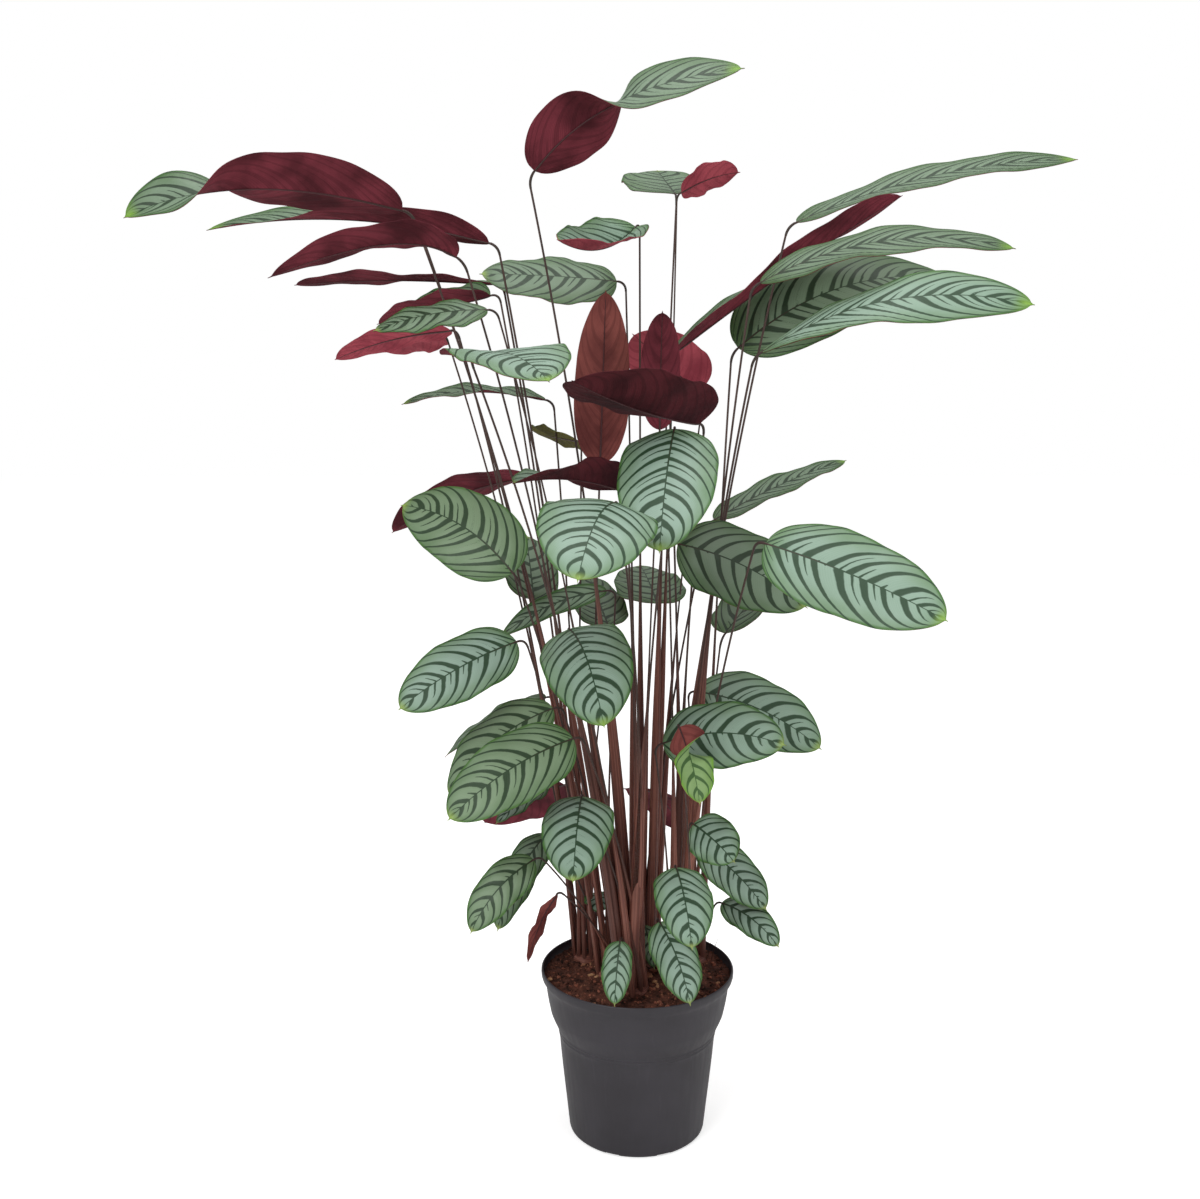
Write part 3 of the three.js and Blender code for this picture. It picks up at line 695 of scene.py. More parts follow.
class LeafMarkings(Effect):
    """The dark pattern of a leaf: stripes, short dashes between them and the midrib.

    Count is the count of stripes from the base, Out is the way from midrib to margin, Along is
    the way from base to tip, and Distance is how far the midrib is, in centimetres, as is Midrib
    Width. Tone and Size are the leaf's own. The other widths are shares of the stripes' spacing.
    """

    seed_spread: float = 91.0
    dash_seed: float = 37.4
    wander: float = 0.14
    wander_scale: Span = (1.2, 3.5)
    stripe_body: Span = (0.3, 1.15)
    stripe_taper: Span = (0.4, 0.7)
    width_spread: Span = (0.86, 0.3)
    dash_rarity: float = 0.95
    dash_reach: float = 0.75
    dash_least: float = 0.001
    dash_most: float = 0.62
    dash_taper: Span = (0.25, 0.75)
    dash_end: float = 0.12
    dash_edge: Span = (0.015, 0.03)
    midrib_taper: float = 0.35
    midrib_edge: float = 0.75
    veins_per_stripe: float = 9.0
    innermost: float = 0.05
    margin_edge: Span = (0.1, 0.4)

    def __init__(self) -> None:
        """Builds the group, which puts out the pattern, the fine veins and the margin."""
        super().__init__(
            "leaf_markings",
            {"Count": 0.0, "Out": 0.0, "Along": 0.0, "Distance": 0.0, "Tone": 0.0, "Size": 1.0,
             "Stripe Width": 0.148, "Dash Width": 0.06, "Midrib Width": 0.12, "Softness": 0.035},
            ("Pattern", "Veins", "Margin"))
        given = self.given
        seed = given["Tone"] * self.seed_spread
        across, outward = self.wander_scale
        spot = self.vector(given["Count"] * across, given["Out"] * outward, seed)
        line = given["Count"] + (self.noise(spot, 1.0, 2.0) - 0.5) * self.wander
        marks = self.math("MAXIMUM", self.stripes(line, seed), self.dashes(line, seed))
        self.give("Pattern", self.math("MAXIMUM", marks, self.midrib()))
        veins = self.math("SINE", given["Count"] * (FULL_TURN * self.veins_per_stripe))
        self.give("Veins", veins * 0.5 + 0.5)
        half_width = given["Distance"] / self.math("MAXIMUM", given["Out"], self.innermost)
        self.give("Margin", self.rise(half_width - given["Distance"], self.margin_edge, (1.0, 0.0)))

    def stripes(self, line: Wire, seed: Wire) -> Wire:
        """The long stripes, which are widest near the midrib.

        Args:
            line: the wandering count of stripes.
            seed: the leaf's own number.

        Returns:
            1 on a stripe and 0 beside it.
        """
        whole = self.math("ROUND", line)
        away = abs(line - whole)
        body_end, body = self.stripe_body
        taper_start, taper = self.stripe_taper
        least, more = self.width_spread
        out, softness = self.given["Out"], self.given["Softness"]
        width = self.given["Stripe Width"] * self.rise(out, (0.0, body_end), (body, 1.0))
        width = width * self.rise(out, (taper_start, 1.0), (1.0, taper))
        width = width * (self.speckle(whole + seed) * more + least)
        return self.rise(away, (width - softness, width + softness), (1.0, 0.0))

    def dashes(self, line: Wire, seed: Wire) -> Wire:
        """The short dashes that start at the midrib between two stripes of a long leaf.

        Args:
            line: the wandering count of stripes.
            seed: the leaf's own number.

        Returns:
            1 on a dash and 0 beside it.
        """
        cell = self.math("FLOOR", line)
        between = abs(line - cell - 0.5)
        likely = self.speckle(cell + seed + self.dash_seed) + self.given["Size"] - self.dash_rarity
        reach = self.math("MAXIMUM", likely * self.dash_reach, self.dash_least)
        left = 1.0 - self.given["Out"] / self.math("MINIMUM", reach, self.dash_most)
        least, more = self.dash_taper
        inner, outer = self.dash_edge
        width = self.given["Dash Width"] * (left * more + least)
        edge = self.rise(between, (width - inner, width + outer), (1.0, 0.0))
        return self.rise(left, (0.0, self.dash_end)) * edge

    def midrib(self) -> Wire:
        """The dark line on the midrib, which thins towards the tip."""
        thin = self.rise(self.given["Along"], (0.0, 1.0), (1.0, self.midrib_taper))
        width = self.given["Midrib Width"] * thin
        return self.rise(self.given["Distance"], (width * self.midrib_edge, width), (1.0, 0.0))


class Mottle(Effect):
    """Uneven colour at a coarse and a fine scale, in Object coordinates."""

    def __init__(self) -> None:
        """Builds the group, which puts out a noise for each scale."""
        super().__init__("mottle", {"Coarse Scale": 30.0, "Fine Scale": 400.0}, ("Coarse", "Fine"))
        spot = self.spot()
        for name in ("Coarse", "Fine"):
            self.give(name, self.noise(spot, self.given[f"{name} Scale"]))


@dataclass(frozen=True)
class Effects:
    """The node groups that materials share."""

    markings: bpy.types.NodeTree
    mottle: bpy.types.NodeTree


class Paint(Graph):
    """A material's nodes, round its own shader."""

    def __init__(self, name: str, effects: Effects) -> None:
        """Starts a material.

        Args:
            name: the material's name.
            effects: the node groups that materials share.
        """
        self.material = bpy.data.materials.new(name)
        self.material.use_nodes = True
        super().__init__(self.material.node_tree)
        self.effects = effects
        self.shader = self.tree.nodes["Principled BSDF"]

    def set(self, **values: float) -> None:
        """Sets the shader's inputs to plain values, with _ for a space in their names."""
        for key, value in values.items():
            self.shader.inputs[key.replace("_", " ")].default_value = value

    def group(self, tree: bpy.types.NodeTree, inputs: dict[str, object]) -> dict[str, Wire]:
        """Places a node group and gives its outputs by name."""
        made = self.node("ShaderNodeGroup", inputs, node_tree=tree)
        return {socket.name: Wire(self, socket) for socket in made.outputs}

    def mottle(self, scales: Span) -> tuple[Wire, Wire]:
        """The coarse and the fine mottle at these scales."""
        both = self.group(self.effects.mottle, dict(zip(("Coarse Scale", "Fine Scale"), scales)))
        return both["Coarse"], both["Fine"]

    def markings(self) -> tuple[Wire, Wire, Wire, Wire, Wire]:
        """The leaf's markings.

        Returns:
            Its pattern, veins and margin, the way along it and the way out to its margin.
        """
        along, distance = self.map("blade")
        count, out = self.map("markings")
        marks = self.group(self.effects.markings, {
            "Count": count, "Out": out, "Along": along, "Distance": distance,
            "Tone": self.tone(), "Size": self.tone("size")})
        return marks["Pattern"], marks["Veins"], marks["Margin"], along, out

    def surface(self, colour: Wire, grain: Wire, roughness: Span) -> None:
        """Gives the shader its colour, and a roughness that follows a grain."""
        self.feed(self.shader.inputs["Base Color"], colour)
        self.feed(self.shader.inputs["Roughness"], self.rise(grain, (0.3, 0.7), roughness))

    def relief(self, height: Wire, bump: Span) -> None:
        """Gives the shader a bump with this height, strength and depth in metres."""
        inputs = {"Strength": bump[0], "Distance": bump[1], "Height": height}
        self.feed(self.shader.inputs["Normal"], self.wire("ShaderNodeBump", inputs))


@dataclass(frozen=True)
class FaceFinish:
    """The upper face of a leaf: a silvery ground, dark stripes, a green margin and a lime tip."""

    centre: Rgb
    outer: Rgb
    base: Rgb
    stripe: Rgb
    margin: Rgb
    tip: Rgb
    small_tip: Rgb = (206, 202, 132)
    scales: Span = (26.0, 520.0)
    outer_reach: Span = (0.25, 1.0)
    outer_share: float = 0.75
    blotches: float = 0.8
    own_share: float = 0.3
    foot_reach: Span = (0.16, 0.0)
    foot_share: float = 0.8
    end_reach: Span = (0.82, 1.0)
    end_share: float = 0.6
    vein_share: float = 0.1
    stripe_share: float = 0.96
    tip_reach: Span = (0.92, 0.985)
    tip_width: float = 0.7
    tip_edge: float = 0.5
    gloss: float = 0.42
    roughness: Span = (0.40, 0.54)
    vein_height: float = 0.22
    grain_height: float = 0.3
    stripe_depth: float = 0.5
    bump: Span = (0.35, 0.0005)

    def lay(self, paint: Paint) -> None:
        """Lays the finish on a material.

        Args:
            paint: the material.
        """
        pattern, veins, margin, along, out = paint.markings()
        coarse, fine = paint.mottle(self.scales)
        outer = paint.rise(out, self.outer_reach, (0.0, self.outer_share))
        spread = outer + (coarse - 0.5) * self.blotches
        inner_tip = paint.rise(out, (0.0, self.tip_width), (1.0, self.tip_edge))
        at_tip = inner_tip * paint.rise(along, self.tip_reach)
        colour = paint.coats(
            self.centre,
            (paint.rise(spread, (0.0, 1.0)), self.outer),
            (paint.tone() * self.own_share, self.outer),
            (paint.rise(along, self.foot_reach, (0.0, self.foot_share)), self.base),
            (paint.rise(along, self.end_reach, (0.0, self.end_share)), self.base),
            (veins * self.vein_share, self.base),
            (margin, self.margin),
            (pattern * self.stripe_share, self.stripe),
            (at_tip, paint.blend(paint.tone("size"), self.small_tip, self.tip)))
        paint.surface(colour, fine, self.roughness)
        height = veins * self.vein_height + fine * self.grain_height - pattern * self.stripe_depth
        paint.relief(height, self.bump)


@dataclass(frozen=True)
class UndersideFinish:
    """The underside of a leaf: uneven, with faint darker side veins."""

    ground: Rgb
    shade: Rgb
    vein: Rgb
    scales: Span = (22.0, 600.0)
    shade_reach: Span = (0.3, 0.72)
    stripe_share: float = 0.32
    vein_share: float = 0.22
    gloss: float = 0.08
    roughness: Span = (0.70, 0.82)
    vein_height: float = 0.3
    stripe_height: float = 0.6
    bump: Span = (0.4, 0.0005)

    def lay(self, paint: Paint) -> None:
        """Lays the finish on a material.

        Args:
            paint: the material.
        """
        pattern, veins, *_ = paint.markings()
        coarse, fine = paint.mottle(self.scales)
        colour = paint.coats(self.ground,
                             (paint.rise(coarse, self.shade_reach), self.shade),
                             (pattern * self.stripe_share, self.vein),
                             (veins * self.vein_share, self.vein))
        paint.surface(colour, fine, self.roughness)
        paint.relief(veins * self.vein_height + pattern * self.stripe_height, self.bump)


@dataclass(frozen=True)
class RibFinish:
    """The joint and midrib below a leaf: dark brown at the joint and plum along the blade."""

    joint: Rgb = (62, 50, 42)
    rib: Rgb = (78, 32, 38)
    dark: Rgb = (44, 30, 28)
    scales: Span = (60.0, 700.0)
    rib_reach: Span = (0.05, 0.4)
    dark_share: float = 0.5
    gloss: float = 0.4
    roughness: Span = (0.42, 0.58)

    def lay(self, paint: Paint) -> None:
        """Lays the finish on a material.

        Args:
            paint: the material.
        """
        along, _ = paint.map("blade")
        coarse, fine = paint.mottle(self.scales)
        colour = paint.coats(self.joint,
                             (paint.rise(along, self.rib_reach), self.rib),
                             (coarse * self.dark_share, self.dark))
        paint.surface(colour, fine, self.roughness)


@dataclass(frozen=True)
class StemFinish:
    """Sheaths and petioles: brown burgundy with lengthwise streaks, darker where they thin."""

    sheath: tuple[Rgb, Rgb] = ((98, 52, 43), (160, 104, 88))
    dark_sheath: Rgb = (62, 34, 28)
    petiole: tuple[Rgb, Rgb] = ((54, 38, 35), (96, 74, 66))
    foot: Rgb = (46, 30, 22)
    scales: Span = (18.0, 500.0)
    streak_scale: Xyz = (3.0, 26.0, 40.0)
    streak_reach: Span = (0.3, 0.7)
    dark_reach: Span = (0.45, 1.0)
    dark_share: float = 0.7
    petiole_reach: Span = (0.35, 0.62)
    foot_reach: Span = (0.08, 0.0)
    foot_share: float = 0.45
    gloss: float = 0.38
    roughness: Span = (0.40, 0.60)
    bump: Span = (0.5, 0.0006)

    def lay(self, paint: Paint) -> None:
        """Lays the finish on a material.

        Args:
            paint: the material.
        """
        along, around = paint.map("blade")
        tone = paint.tone()
        scaled = [part * scale for part, scale in zip((along, around, tone), self.streak_scale)]
        streaks = paint.rise(paint.noise(paint.vector(*scaled), 1.0), self.streak_reach)
        colour = paint.coats(
            paint.blend(streaks, *self.sheath),
            (paint.rise(tone, self.dark_reach, (0.0, self.dark_share)), self.dark_sheath),
            (paint.rise(along, self.petiole_reach), paint.blend(streaks, *self.petiole)),
            (paint.rise(along, self.foot_reach, (0.0, self.foot_share)), self.foot))
        _, fine = paint.mottle(self.scales)
        paint.surface(colour, fine, self.roughness)
        paint.relief(streaks, self.bump)


@dataclass(frozen=True)
class PotFinish:
    """The pot: dull dark grey plastic with a fine grain and upright streaks of painted sheen."""

    ground: Rgb = (50, 47, 52)
    pale: Rgb = (58, 55, 61)
    # painted sheen: the lighter colour of the upright streaks
    painted_sheen: Rgb = (78, 74, 80)
    scales: Span = (14.0, 900.0)
    pale_reach: Span = (0.3, 0.7)
    sheen_stretch: Xyz = (1.0, 1.0, 0.08)
    sheen_scale: float = 160.0
    sheen_reach: Span = (0.55, 0.8)
    sheen_share: float = 0.25
    gloss: float = 0.45
    roughness: Span = (0.42, 0.52)
    bump: Span = (0.12, 0.0003)

    def lay(self, paint: Paint) -> None:
        """Lays the finish on a material.

        Args:
            paint: the material.
        """
        coarse, fine = paint.mottle(self.scales)
        # the lighter upright streaks are painted sheen, and the roughness follows them too
        stretched = paint.wire("ShaderNodeMapping", {"Vector": paint.spot(), "Scale": self.sheen_stretch})
        sheen_streaks = paint.noise(stretched, self.sheen_scale)
        colour = paint.coats(self.ground,
                             (paint.rise(coarse, self.pale_reach), self.pale),
                             (paint.rise(sheen_streaks, self.sheen_reach, (0.0, self.sheen_share)), self.painted_sheen))
        paint.surface(colour, sheen_streaks, self.roughness)
        paint.relief(fine, self.bump)


@dataclass(frozen=True)
class SoilFinish:
    """The soil: damp dark brown, with redder crumbs, pale fibres and fine dark specks of painted shade that
    stand for its hollows.
    """

    dark: Rgb = (44, 26, 20)
    brown: Rgb = (106, 66, 52)
    red: Rgb = (152, 94, 74)
    pale: Rgb = (196, 150, 112)
    # painted shade: the dark colour of the soil's hollows
    hollow_shade: Rgb = (28, 18, 14)
    scales: Span = (90.0, 900.0)
    unevenness: float = 1.3
    brown_reach: Span = (0.0, 0.55)
    red_reach: Span = (0.6, 0.85)
    pale_reach: Span = (0.92, 1.1)
    hollow_shade_reach: Span = (0.45, 0.75)
    hollow_shade_share: float = 0.5
    gloss: float = 0.25
    roughness: Span = (0.72, 0.95)
    bump: Span = (0.7, 0.001)

    def lay(self, paint: Paint) -> None:
        """Lays the finish on a material.

        Args:
            paint: the material.
        """
        coarse, fine = paint.mottle(self.scales)
        tone = paint.tone() + (coarse - 0.5) * self.unevenness
        # the last coat is painted shade: fine dark specks for the shade in the soil's hollows
        colour = paint.coats(self.dark,
                             (paint.rise(tone, self.brown_reach), self.brown),
                             (paint.rise(tone, self.red_reach), self.red),
                             (paint.rise(tone, self.pale_reach), self.pale),
                             (paint.rise(fine, self.hollow_shade_reach, (0.0, self.hollow_shade_share)), self.hollow_shade))
        paint.surface(colour, fine, self.roughness)
        paint.relief(fine, self.bump)


@dataclass(frozen=True)
class FloorFinish:
    """The pale floor, which the camera sees a little brighter than the light on it."""

    ground: Rgb = (246, 246, 245)
    pale: Rgb = (250, 250, 249)
    scale: float = 2.0
    gloss: float = 0.2
    roughness: float = 0.9
    glow: float = 0.56

    def lay(self, paint: Paint) -> None:
        """Lays the finish on a material.

        Args:
            paint: the material.
        """
        paint.set(Roughness=self.roughness, Emission_Strength=self.glow)
        clouds = paint.noise(paint.spot(), self.scale, 2.0)
        paint.feed(paint.shader.inputs["Base Color"], paint.blend(clouds, self.ground, self.pale))
        seen = paint.wire("ShaderNodeLightPath", {}, output="Is Camera Ray")
        paint.feed(paint.shader.inputs["Emission Color"], paint.blend(seen, BLACK, WHITE))


FACES = {
    FaceTone.SILVER: FaceFinish((154, 180, 164), (120, 150, 116), (92, 130, 74), (36, 66, 40),
                                (72, 114, 54), (134, 178, 64)),
    FaceTone.GREEN: FaceFinish((134, 158, 126), (104, 132, 94), (86, 120, 68), (36, 62, 34),
                               (74, 114, 52), (134, 178, 64)),
    # a deeper green that also holds painted shade: the face made darker for the leaves in shade
    FaceTone.DEEP_AND_SHADED: FaceFinish((124, 146, 122), (94, 122, 84), (72, 104, 52), (34, 56, 33),
                              (60, 100, 42), (126, 172, 54)),
    FaceTone.YOUNG: FaceFinish((144, 174, 118), (116, 152, 78), (98, 140, 56), (58, 94, 42),
                               (112, 160, 54), (160, 186, 80)),
}

UNDERSIDES = {
    UndersideTone.BURGUNDY: UndersideFinish((136, 59, 71), (80, 34, 41), (68, 28, 35)),
    # painted light: the burgundy underside made lighter and pinker, for undersides that light shines through
    UndersideTone.LIT_ROSE: UndersideFinish((196, 90, 103), (150, 62, 75), (120, 46, 58)),
    # painted shade: the burgundy underside made darker, for undersides in shade
    UndersideTone.SHADED_PLUM: UndersideFinish((94, 40, 47), (56, 24, 29), (46, 20, 24)),
    UndersideTone.OLIVE: UndersideFinish((112, 106, 48), (84, 78, 36), (60, 50, 28)),
    UndersideTone.RUSSET: UndersideFinish((154, 86, 80), (110, 58, 56), (84, 42, 41)),
}

Finish = FaceFinish | UndersideFinish | RibFinish | StemFinish | PotFinish | SoilFinish | FloorFinish


class Finishes:
    """Every material of the plant, its pot and the studio."""

    def __init__(self) -> None:
        """Builds the shared effects and the materials."""
        self.effects = Effects(LeafMarkings().tree, Mottle().tree)
        self.faces = {tone: self.make(f"leaf_face_{tone.value}", finish) for tone, finish in FACES.items()}
        self.undersides = {tone: self.make(f"leaf_underside_{tone.value}", finish)
                           for tone, finish in UNDERSIDES.items()}
        self.rib = self.make("leaf_rib", RibFinish())
        self.stem = self.make("sheath_and_petiole", StemFinish())
        self.pot = self.make("pot_plastic", PotFinish())
        self.soil = self.make("soil_crumb", SoilFinish())
        self.floor = self.make("pale_floor", FloorFinish())

    def make(self, name: str, finish: Finish) -> bpy.types.Material:
        """Makes a material.

        Args:
            name: the material's name.
            finish: what is laid on it.

        Returns:
            The material.
        """
        paint = Paint(name, self.effects)
        paint.set(Specular_IOR_Level=finish.gloss)
        finish.lay(paint)
        return paint.material


@dataclass(frozen=True)
class Midrib:
    """The line that a blade is built on, and the frame of the blade along it."""

    plan: LeafPlan

    @property
    def chord(self) -> np.ndarray:
        """The straight way from base to tip, in metres."""
        return place(self.plan.tip) - place(self.plan.base)

    @property
    def level_left(self) -> np.ndarray:
        """The level direction to the left of the midrib."""
        ahead, left, _ = self.chord
        return unit(np.array([-left, ahead, 0.0]))

    @property
    def arc(self) -> Arc:
        """The midrib's curve, in metres."""
        base, left = place(self.plan.base), self.level_left
        lift = unit(np.cross(self.chord, left))
        bend = lift * 2 * self.plan.arch * MM + left * 2 * self.plan.bow * MM
        return Arc(base, base + self.chord * self.plan.crest + bend, place(self.plan.tip))

    def frames(self, along: np.ndarray) -> tuple[np.ndarray, np.ndarray, np.ndarray]:
        """The blade's frame.

        Args:
            along: how far along the midrib, from 0 at the base to 1 at the tip.

        Returns:
            The middles, and the directions to the left of and above the blade.
        """
        ahead, left = self.arc.directions(along), self.level_left
        level = unit(left - (ahead @ left)[:, None] * ahead)
        upward = np.cross(ahead, level)
        start, end = self.plan.twist
        part = np.clip((along - start) / (end - start), 0.0, 1.0)
        eased = part**3 * (part * (part * 6 - 15) + 10)
        at_base, at_tip = self.plan.turn
        turn = np.radians(at_base + (at_tip - at_base) * eased)[:, None]
        return (self.arc.points(along),
                level * np.cos(turn) + upward * np.sin(turn),
                upward * np.cos(turn) - level * np.sin(turn))


@dataclass
class Leaf:
    """One leaf: a waved blade with its markings, its midrib and the thick joint at its base."""

    plan: LeafPlan
    order: int
    finishes: Finishes
    first_seed: int = 1000
    thickness: float = 0.6 * MM
    widest_at: float = 0.42
    base_fullness: float = 3.0
    tip_fullness: float = 2.1
    tip_bluntness: float = 0.6
    base_half_width: float = 1.5 * MM
    tip_half_width: float = 0.2 * MM
    wave: float = 2.2 * MM
    wave_count: float = 2.5
    wave_step: float = 0.37
    wave_lag: float = 0.25
    ripple: float = 0.45 * MM
    ripple_count: float = 7.0
    quilting: float = 0.45 * MM
    quilting_start: Span = (0.05, 0.3)
    quilting_end: Span = (0.7, 1.0)
    furrow: float = 0.7 * MM
    furrow_width: float = 1.6 * MM
    drip_tip: float = 3.2 * MM
    drip_half_width: float = 0.9 * MM
    joint_radius: float = 1.3 * MM
    joint_length: float = 10.0 * MM
    joint_share: float = 0.08
    joint_swell: float = 0.12
    joint_rings: int = 8
    rib_end: float = 0.95
    rib_taper: Span = (0.85, 0.62)
    rib_depth: float = 0.55
    rib_entry: Span = (-0.02, 0.05)
    rib_rings: int = 32
    rib_sides: int = 8
    stripe_base: float = 4.3
    stripe_spacing: float = 46.0 * MM
    stripe_slant: float = 0.135
    stripe_bend: float = 0.26
    stripe_sway: float = 0.12
    sway_pace: float = 1.7
    sway_lag: float = 1.3
    large_length: float = 200.0 * MM
    least_stoutness: float = 0.6
    even_share: float = 0.45
    faces: tuple[int, int] = (72, 24)
    small_faces: tuple[int, int] = (40, 16)
    small_length: float = 80.0 * MM

    def __post_init__(self) -> None:
        """Works out the midrib, the stripes and this leaf's own random draws."""
        self.midrib = Midrib(self.plan)
        self.length = self.midrib.arc.length()
        draw = random.Random(self.first_seed + self.order)
        self.stripes = self.stripe_base + self.length / self.stripe_spacing + draw.uniform(-0.4, 0.5)
        self.shift = draw.uniform(0.0, 1.0)
        self.lag = draw.uniform(0.15, 0.45)
        self.drift = draw.uniform(0.0, FULL_TURN)
        self.shade = draw.uniform(0.0, 1.0)
        self.size = min(self.length / self.large_length, 1.0)
        self.stoutness = self.least_stoutness + (1.0 - self.least_stoutness) * self.size
        self.tip_start = 1.0 - self.drip_tip / self.length

    def outline(self, along: np.ndarray) -> np.ndarray:
        """The blade's half width as a share of its widest.

        Args:
            along: how far along the midrib, from 0 to 1.

        Returns:
            The share at each place.
        """
        early = np.clip(along / self.widest_at, 0.0, 1.0)
        late = np.clip((along - self.widest_at) / (self.tip_start - self.widest_at), 0.0, 1.0)
        return np.where(along < self.widest_at,
                        np.sqrt(1.0 - (1.0 - early) ** self.base_fullness),
                        (1.0 - late**self.tip_fullness) ** self.tip_bluntness)

    def half_width(self, along: np.ndarray) -> np.ndarray:
        """The blade's half width.

        Args:
            along: how far along the midrib, from 0 to 1.

        Returns:
            The half width at each place, in metres.
        """
        drip = self.drip_half_width * np.clip((1.0 - along) / (1.0 - self.tip_start), 0.0, 1.0)
        late = np.maximum(drip, self.tip_half_width)
        least = np.where(along < self.widest_at, self.base_half_width, late)
        return np.maximum(self.outline(along) * self.plan.width / 2 * MM, least)

    def marking(self, along: np.ndarray, out: np.ndarray, side: np.ndarray) -> np.ndarray:
        """The count of dark stripes from the base to a place on the blade.

        A stripe leaves the midrib at a slant, runs nearly straight to two thirds of the half
        width, and then bends towards the tip beside the margin.

        Args:
            along: how far along the midrib, from 0 to 1.
            out: how far from the midrib to the margin, from 0 to 1.
            side: 1 on the left half and -1 on the right half.

        Returns:
            The count, whole at the middle of a stripe.
        """
        start = along - self.stripe_slant * out - self.stripe_bend * out**3 * (1.0 - 0.5 * along)
        phase = self.sway_pace * self.stripes * start + self.drift + self.sway_lag * side
        return self.stripes * start + self.stripe_sway * np.sin(phase) + self.shift + self.lag * side

    def surface(self, along: np.ndarray, across: np.ndarray) -> np.ndarray:
        """Points of the blade's middle surface.

        Args:
            along: how far along the midrib, from 0 to 1.
            across: from -1 at the right margin to 1 at the left one.

        Returns:
            One point for each pair, in metres.
        """
        middle, left, above = self.midrib.frames(along)
        out, side = np.abs(across), np.sign(across)
        full, half = self.outline(along), self.half_width(along)
        rise = np.radians(self.plan.fold + self.plan.cup * out / 2)
        turns = self.wave_count * along + self.wave_step * self.order + self.wave_lag * side
        lift = self.wave * full * out**2 * np.sin(FULL_TURN * turns)
        crimp = np.sin(FULL_TURN * self.ripple_count * along + self.drift + side)
        lift += self.ripple * full * out**5 * crimp
        pillow = smoothstep(out, *self.quilting_start) * (1.0 - smoothstep(out, *self.quilting_end))
        lift -= self.quilting * full * np.cos(FULL_TURN * self.marking(along, out, side)) * pillow
        lift -= self.furrow * (1 - along) * np.exp(-((out * half / self.furrow_width) ** 2))
        return (middle + left * (side * out * half * np.cos(rise))[:, None]
                + above * (out * half * np.sin(rise) + lift)[:, None])

    def blade(self) -> bpy.types.Object:
        """The blade as a thin closed solid, its upper face in slot 0 and its underside in slot 1."""
        faces = self.small_faces if self.length < self.small_length else self.faces
        blade = Modeller.grid(f"{self.plan.name}_blade", *faces)
        flat = Modeller.read(blade)
        even = flat[:, 0] + 0.5
        along = self.even_share * even + (1.0 - self.even_share) * (0.5 - 0.5 * np.cos(math.pi * even))
        across = 2.0 * flat[:, 1]
        Modeller.write(blade, self.surface(along, across))
        self.map_markings(blade, along, across)
        blade.data.materials.append(self.finishes.faces[self.plan.face])
        blade.data.materials.append(self.finishes.undersides[self.plan.underside])
        Modeller.apply(blade, "SOLIDIFY", thickness=self.thickness, offset=0.0, material_offset=1,
                       material_offset_rim=1, use_even_offset=False)
        return blade

    def map_markings(self, blade: bpy.types.Object, along: np.ndarray, across: np.ndarray) -> None:
        """Gives the blade the maps that its markings follow.

        The map named blade holds the way along and the distance from the midrib in centimetres.
        The map named markings holds the stripe count and the way out to the margin.

        Args:
            blade: the shaped grid, before it has a thickness.
            along: how far along the midrib each vertex lies.
            across: how far across each vertex lies.
        """
        mesh = blade.data
        corner = np.empty(len(mesh.loops), int)
        mesh.loops.foreach_get("vertex_index", corner)
        starts = np.empty(len(mesh.polygons), int)
        mesh.polygons.foreach_get("loop_start", starts)
        counts = np.diff(np.append(starts, len(corner)))
        side = np.sign(np.repeat(np.add.reduceat(across[corner], starts), counts))
        out, way = np.abs(across[corner]), along[corner]
        mesh.uv_layers[0].name = "blade"
        distance = out * self.half_width(way) * 100.0
        Modeller.corner_map(blade, "blade", np.column_stack([way, distance]))
        Modeller.corner_map(blade, "markings", np.column_stack([self.marking(way, out, side), out]))
        Modeller.tone(blade, self.shade)
        Modeller.tone(blade, self.size, "size")

    def joint(self, petiole_corner: np.ndarray) -> Arc:
        """The thick joint between the petiole's end and the blade's base.

        Args:
            petiole_corner: the point that bends the petiole.

        Returns:
            The joint's curve.
        """
        base = place(self.plan.base)
        length = min(self.joint_length, self.joint_share * self.length)
        elbow = base - self.midrib.arc.directions(np.zeros(1))[0] * length
        return Arc(elbow - unit(elbow - petiole_corner) * length, elbow, base)

    def rib(self, petiole_corner: np.ndarray) -> bpy.types.Object:
        """The joint and the raised midrib under the blade, as one tapering rod.

        Args:
            petiole_corner: the point that bends the petiole.

        Returns:
            The rod.
        """
        parts = np.linspace(0.0, 1.0, self.joint_rings + 1)[:-1]
        along = np.linspace(0.0, self.rib_end, self.rib_rings)
        middle, _, above = self.midrib.frames(along)
        full, taper = self.rib_taper
        thick = self.joint_radius * self.stoutness
        radius = thick * (full - taper * along)
        below = (self.furrow * (1 - along) + self.rib_depth * radius) * smoothstep(along, *self.rib_entry)
        points = np.vstack([self.joint(petiole_corner).points(parts), middle - above * below[:, None]])
        swell = thick * (1.0 + self.joint_swell * np.sin(math.pi * parts))
        rod = tube(f"{self.plan.name}_rib", points, np.concatenate([swell, radius]), self.rib_sides)
        Modeller.tone(rod, self.shade)
        rod.data.materials.append(self.finishes.rib)
        return rod

    def build(self, petiole_corner: np.ndarray) -> bpy.types.Object:
        """Models the leaf and hands it to the frame.

        Args:
            petiole_corner: the point that bends the petiole.

        Returns:
            The finished leaf.
        """
        leaf = Modeller.join(f"dressed_{self.plan.name}", [self.blade(), self.rib(petiole_corner)])
        return Modeller.dress(leaf, Slot.LEAF, self.plan.node)


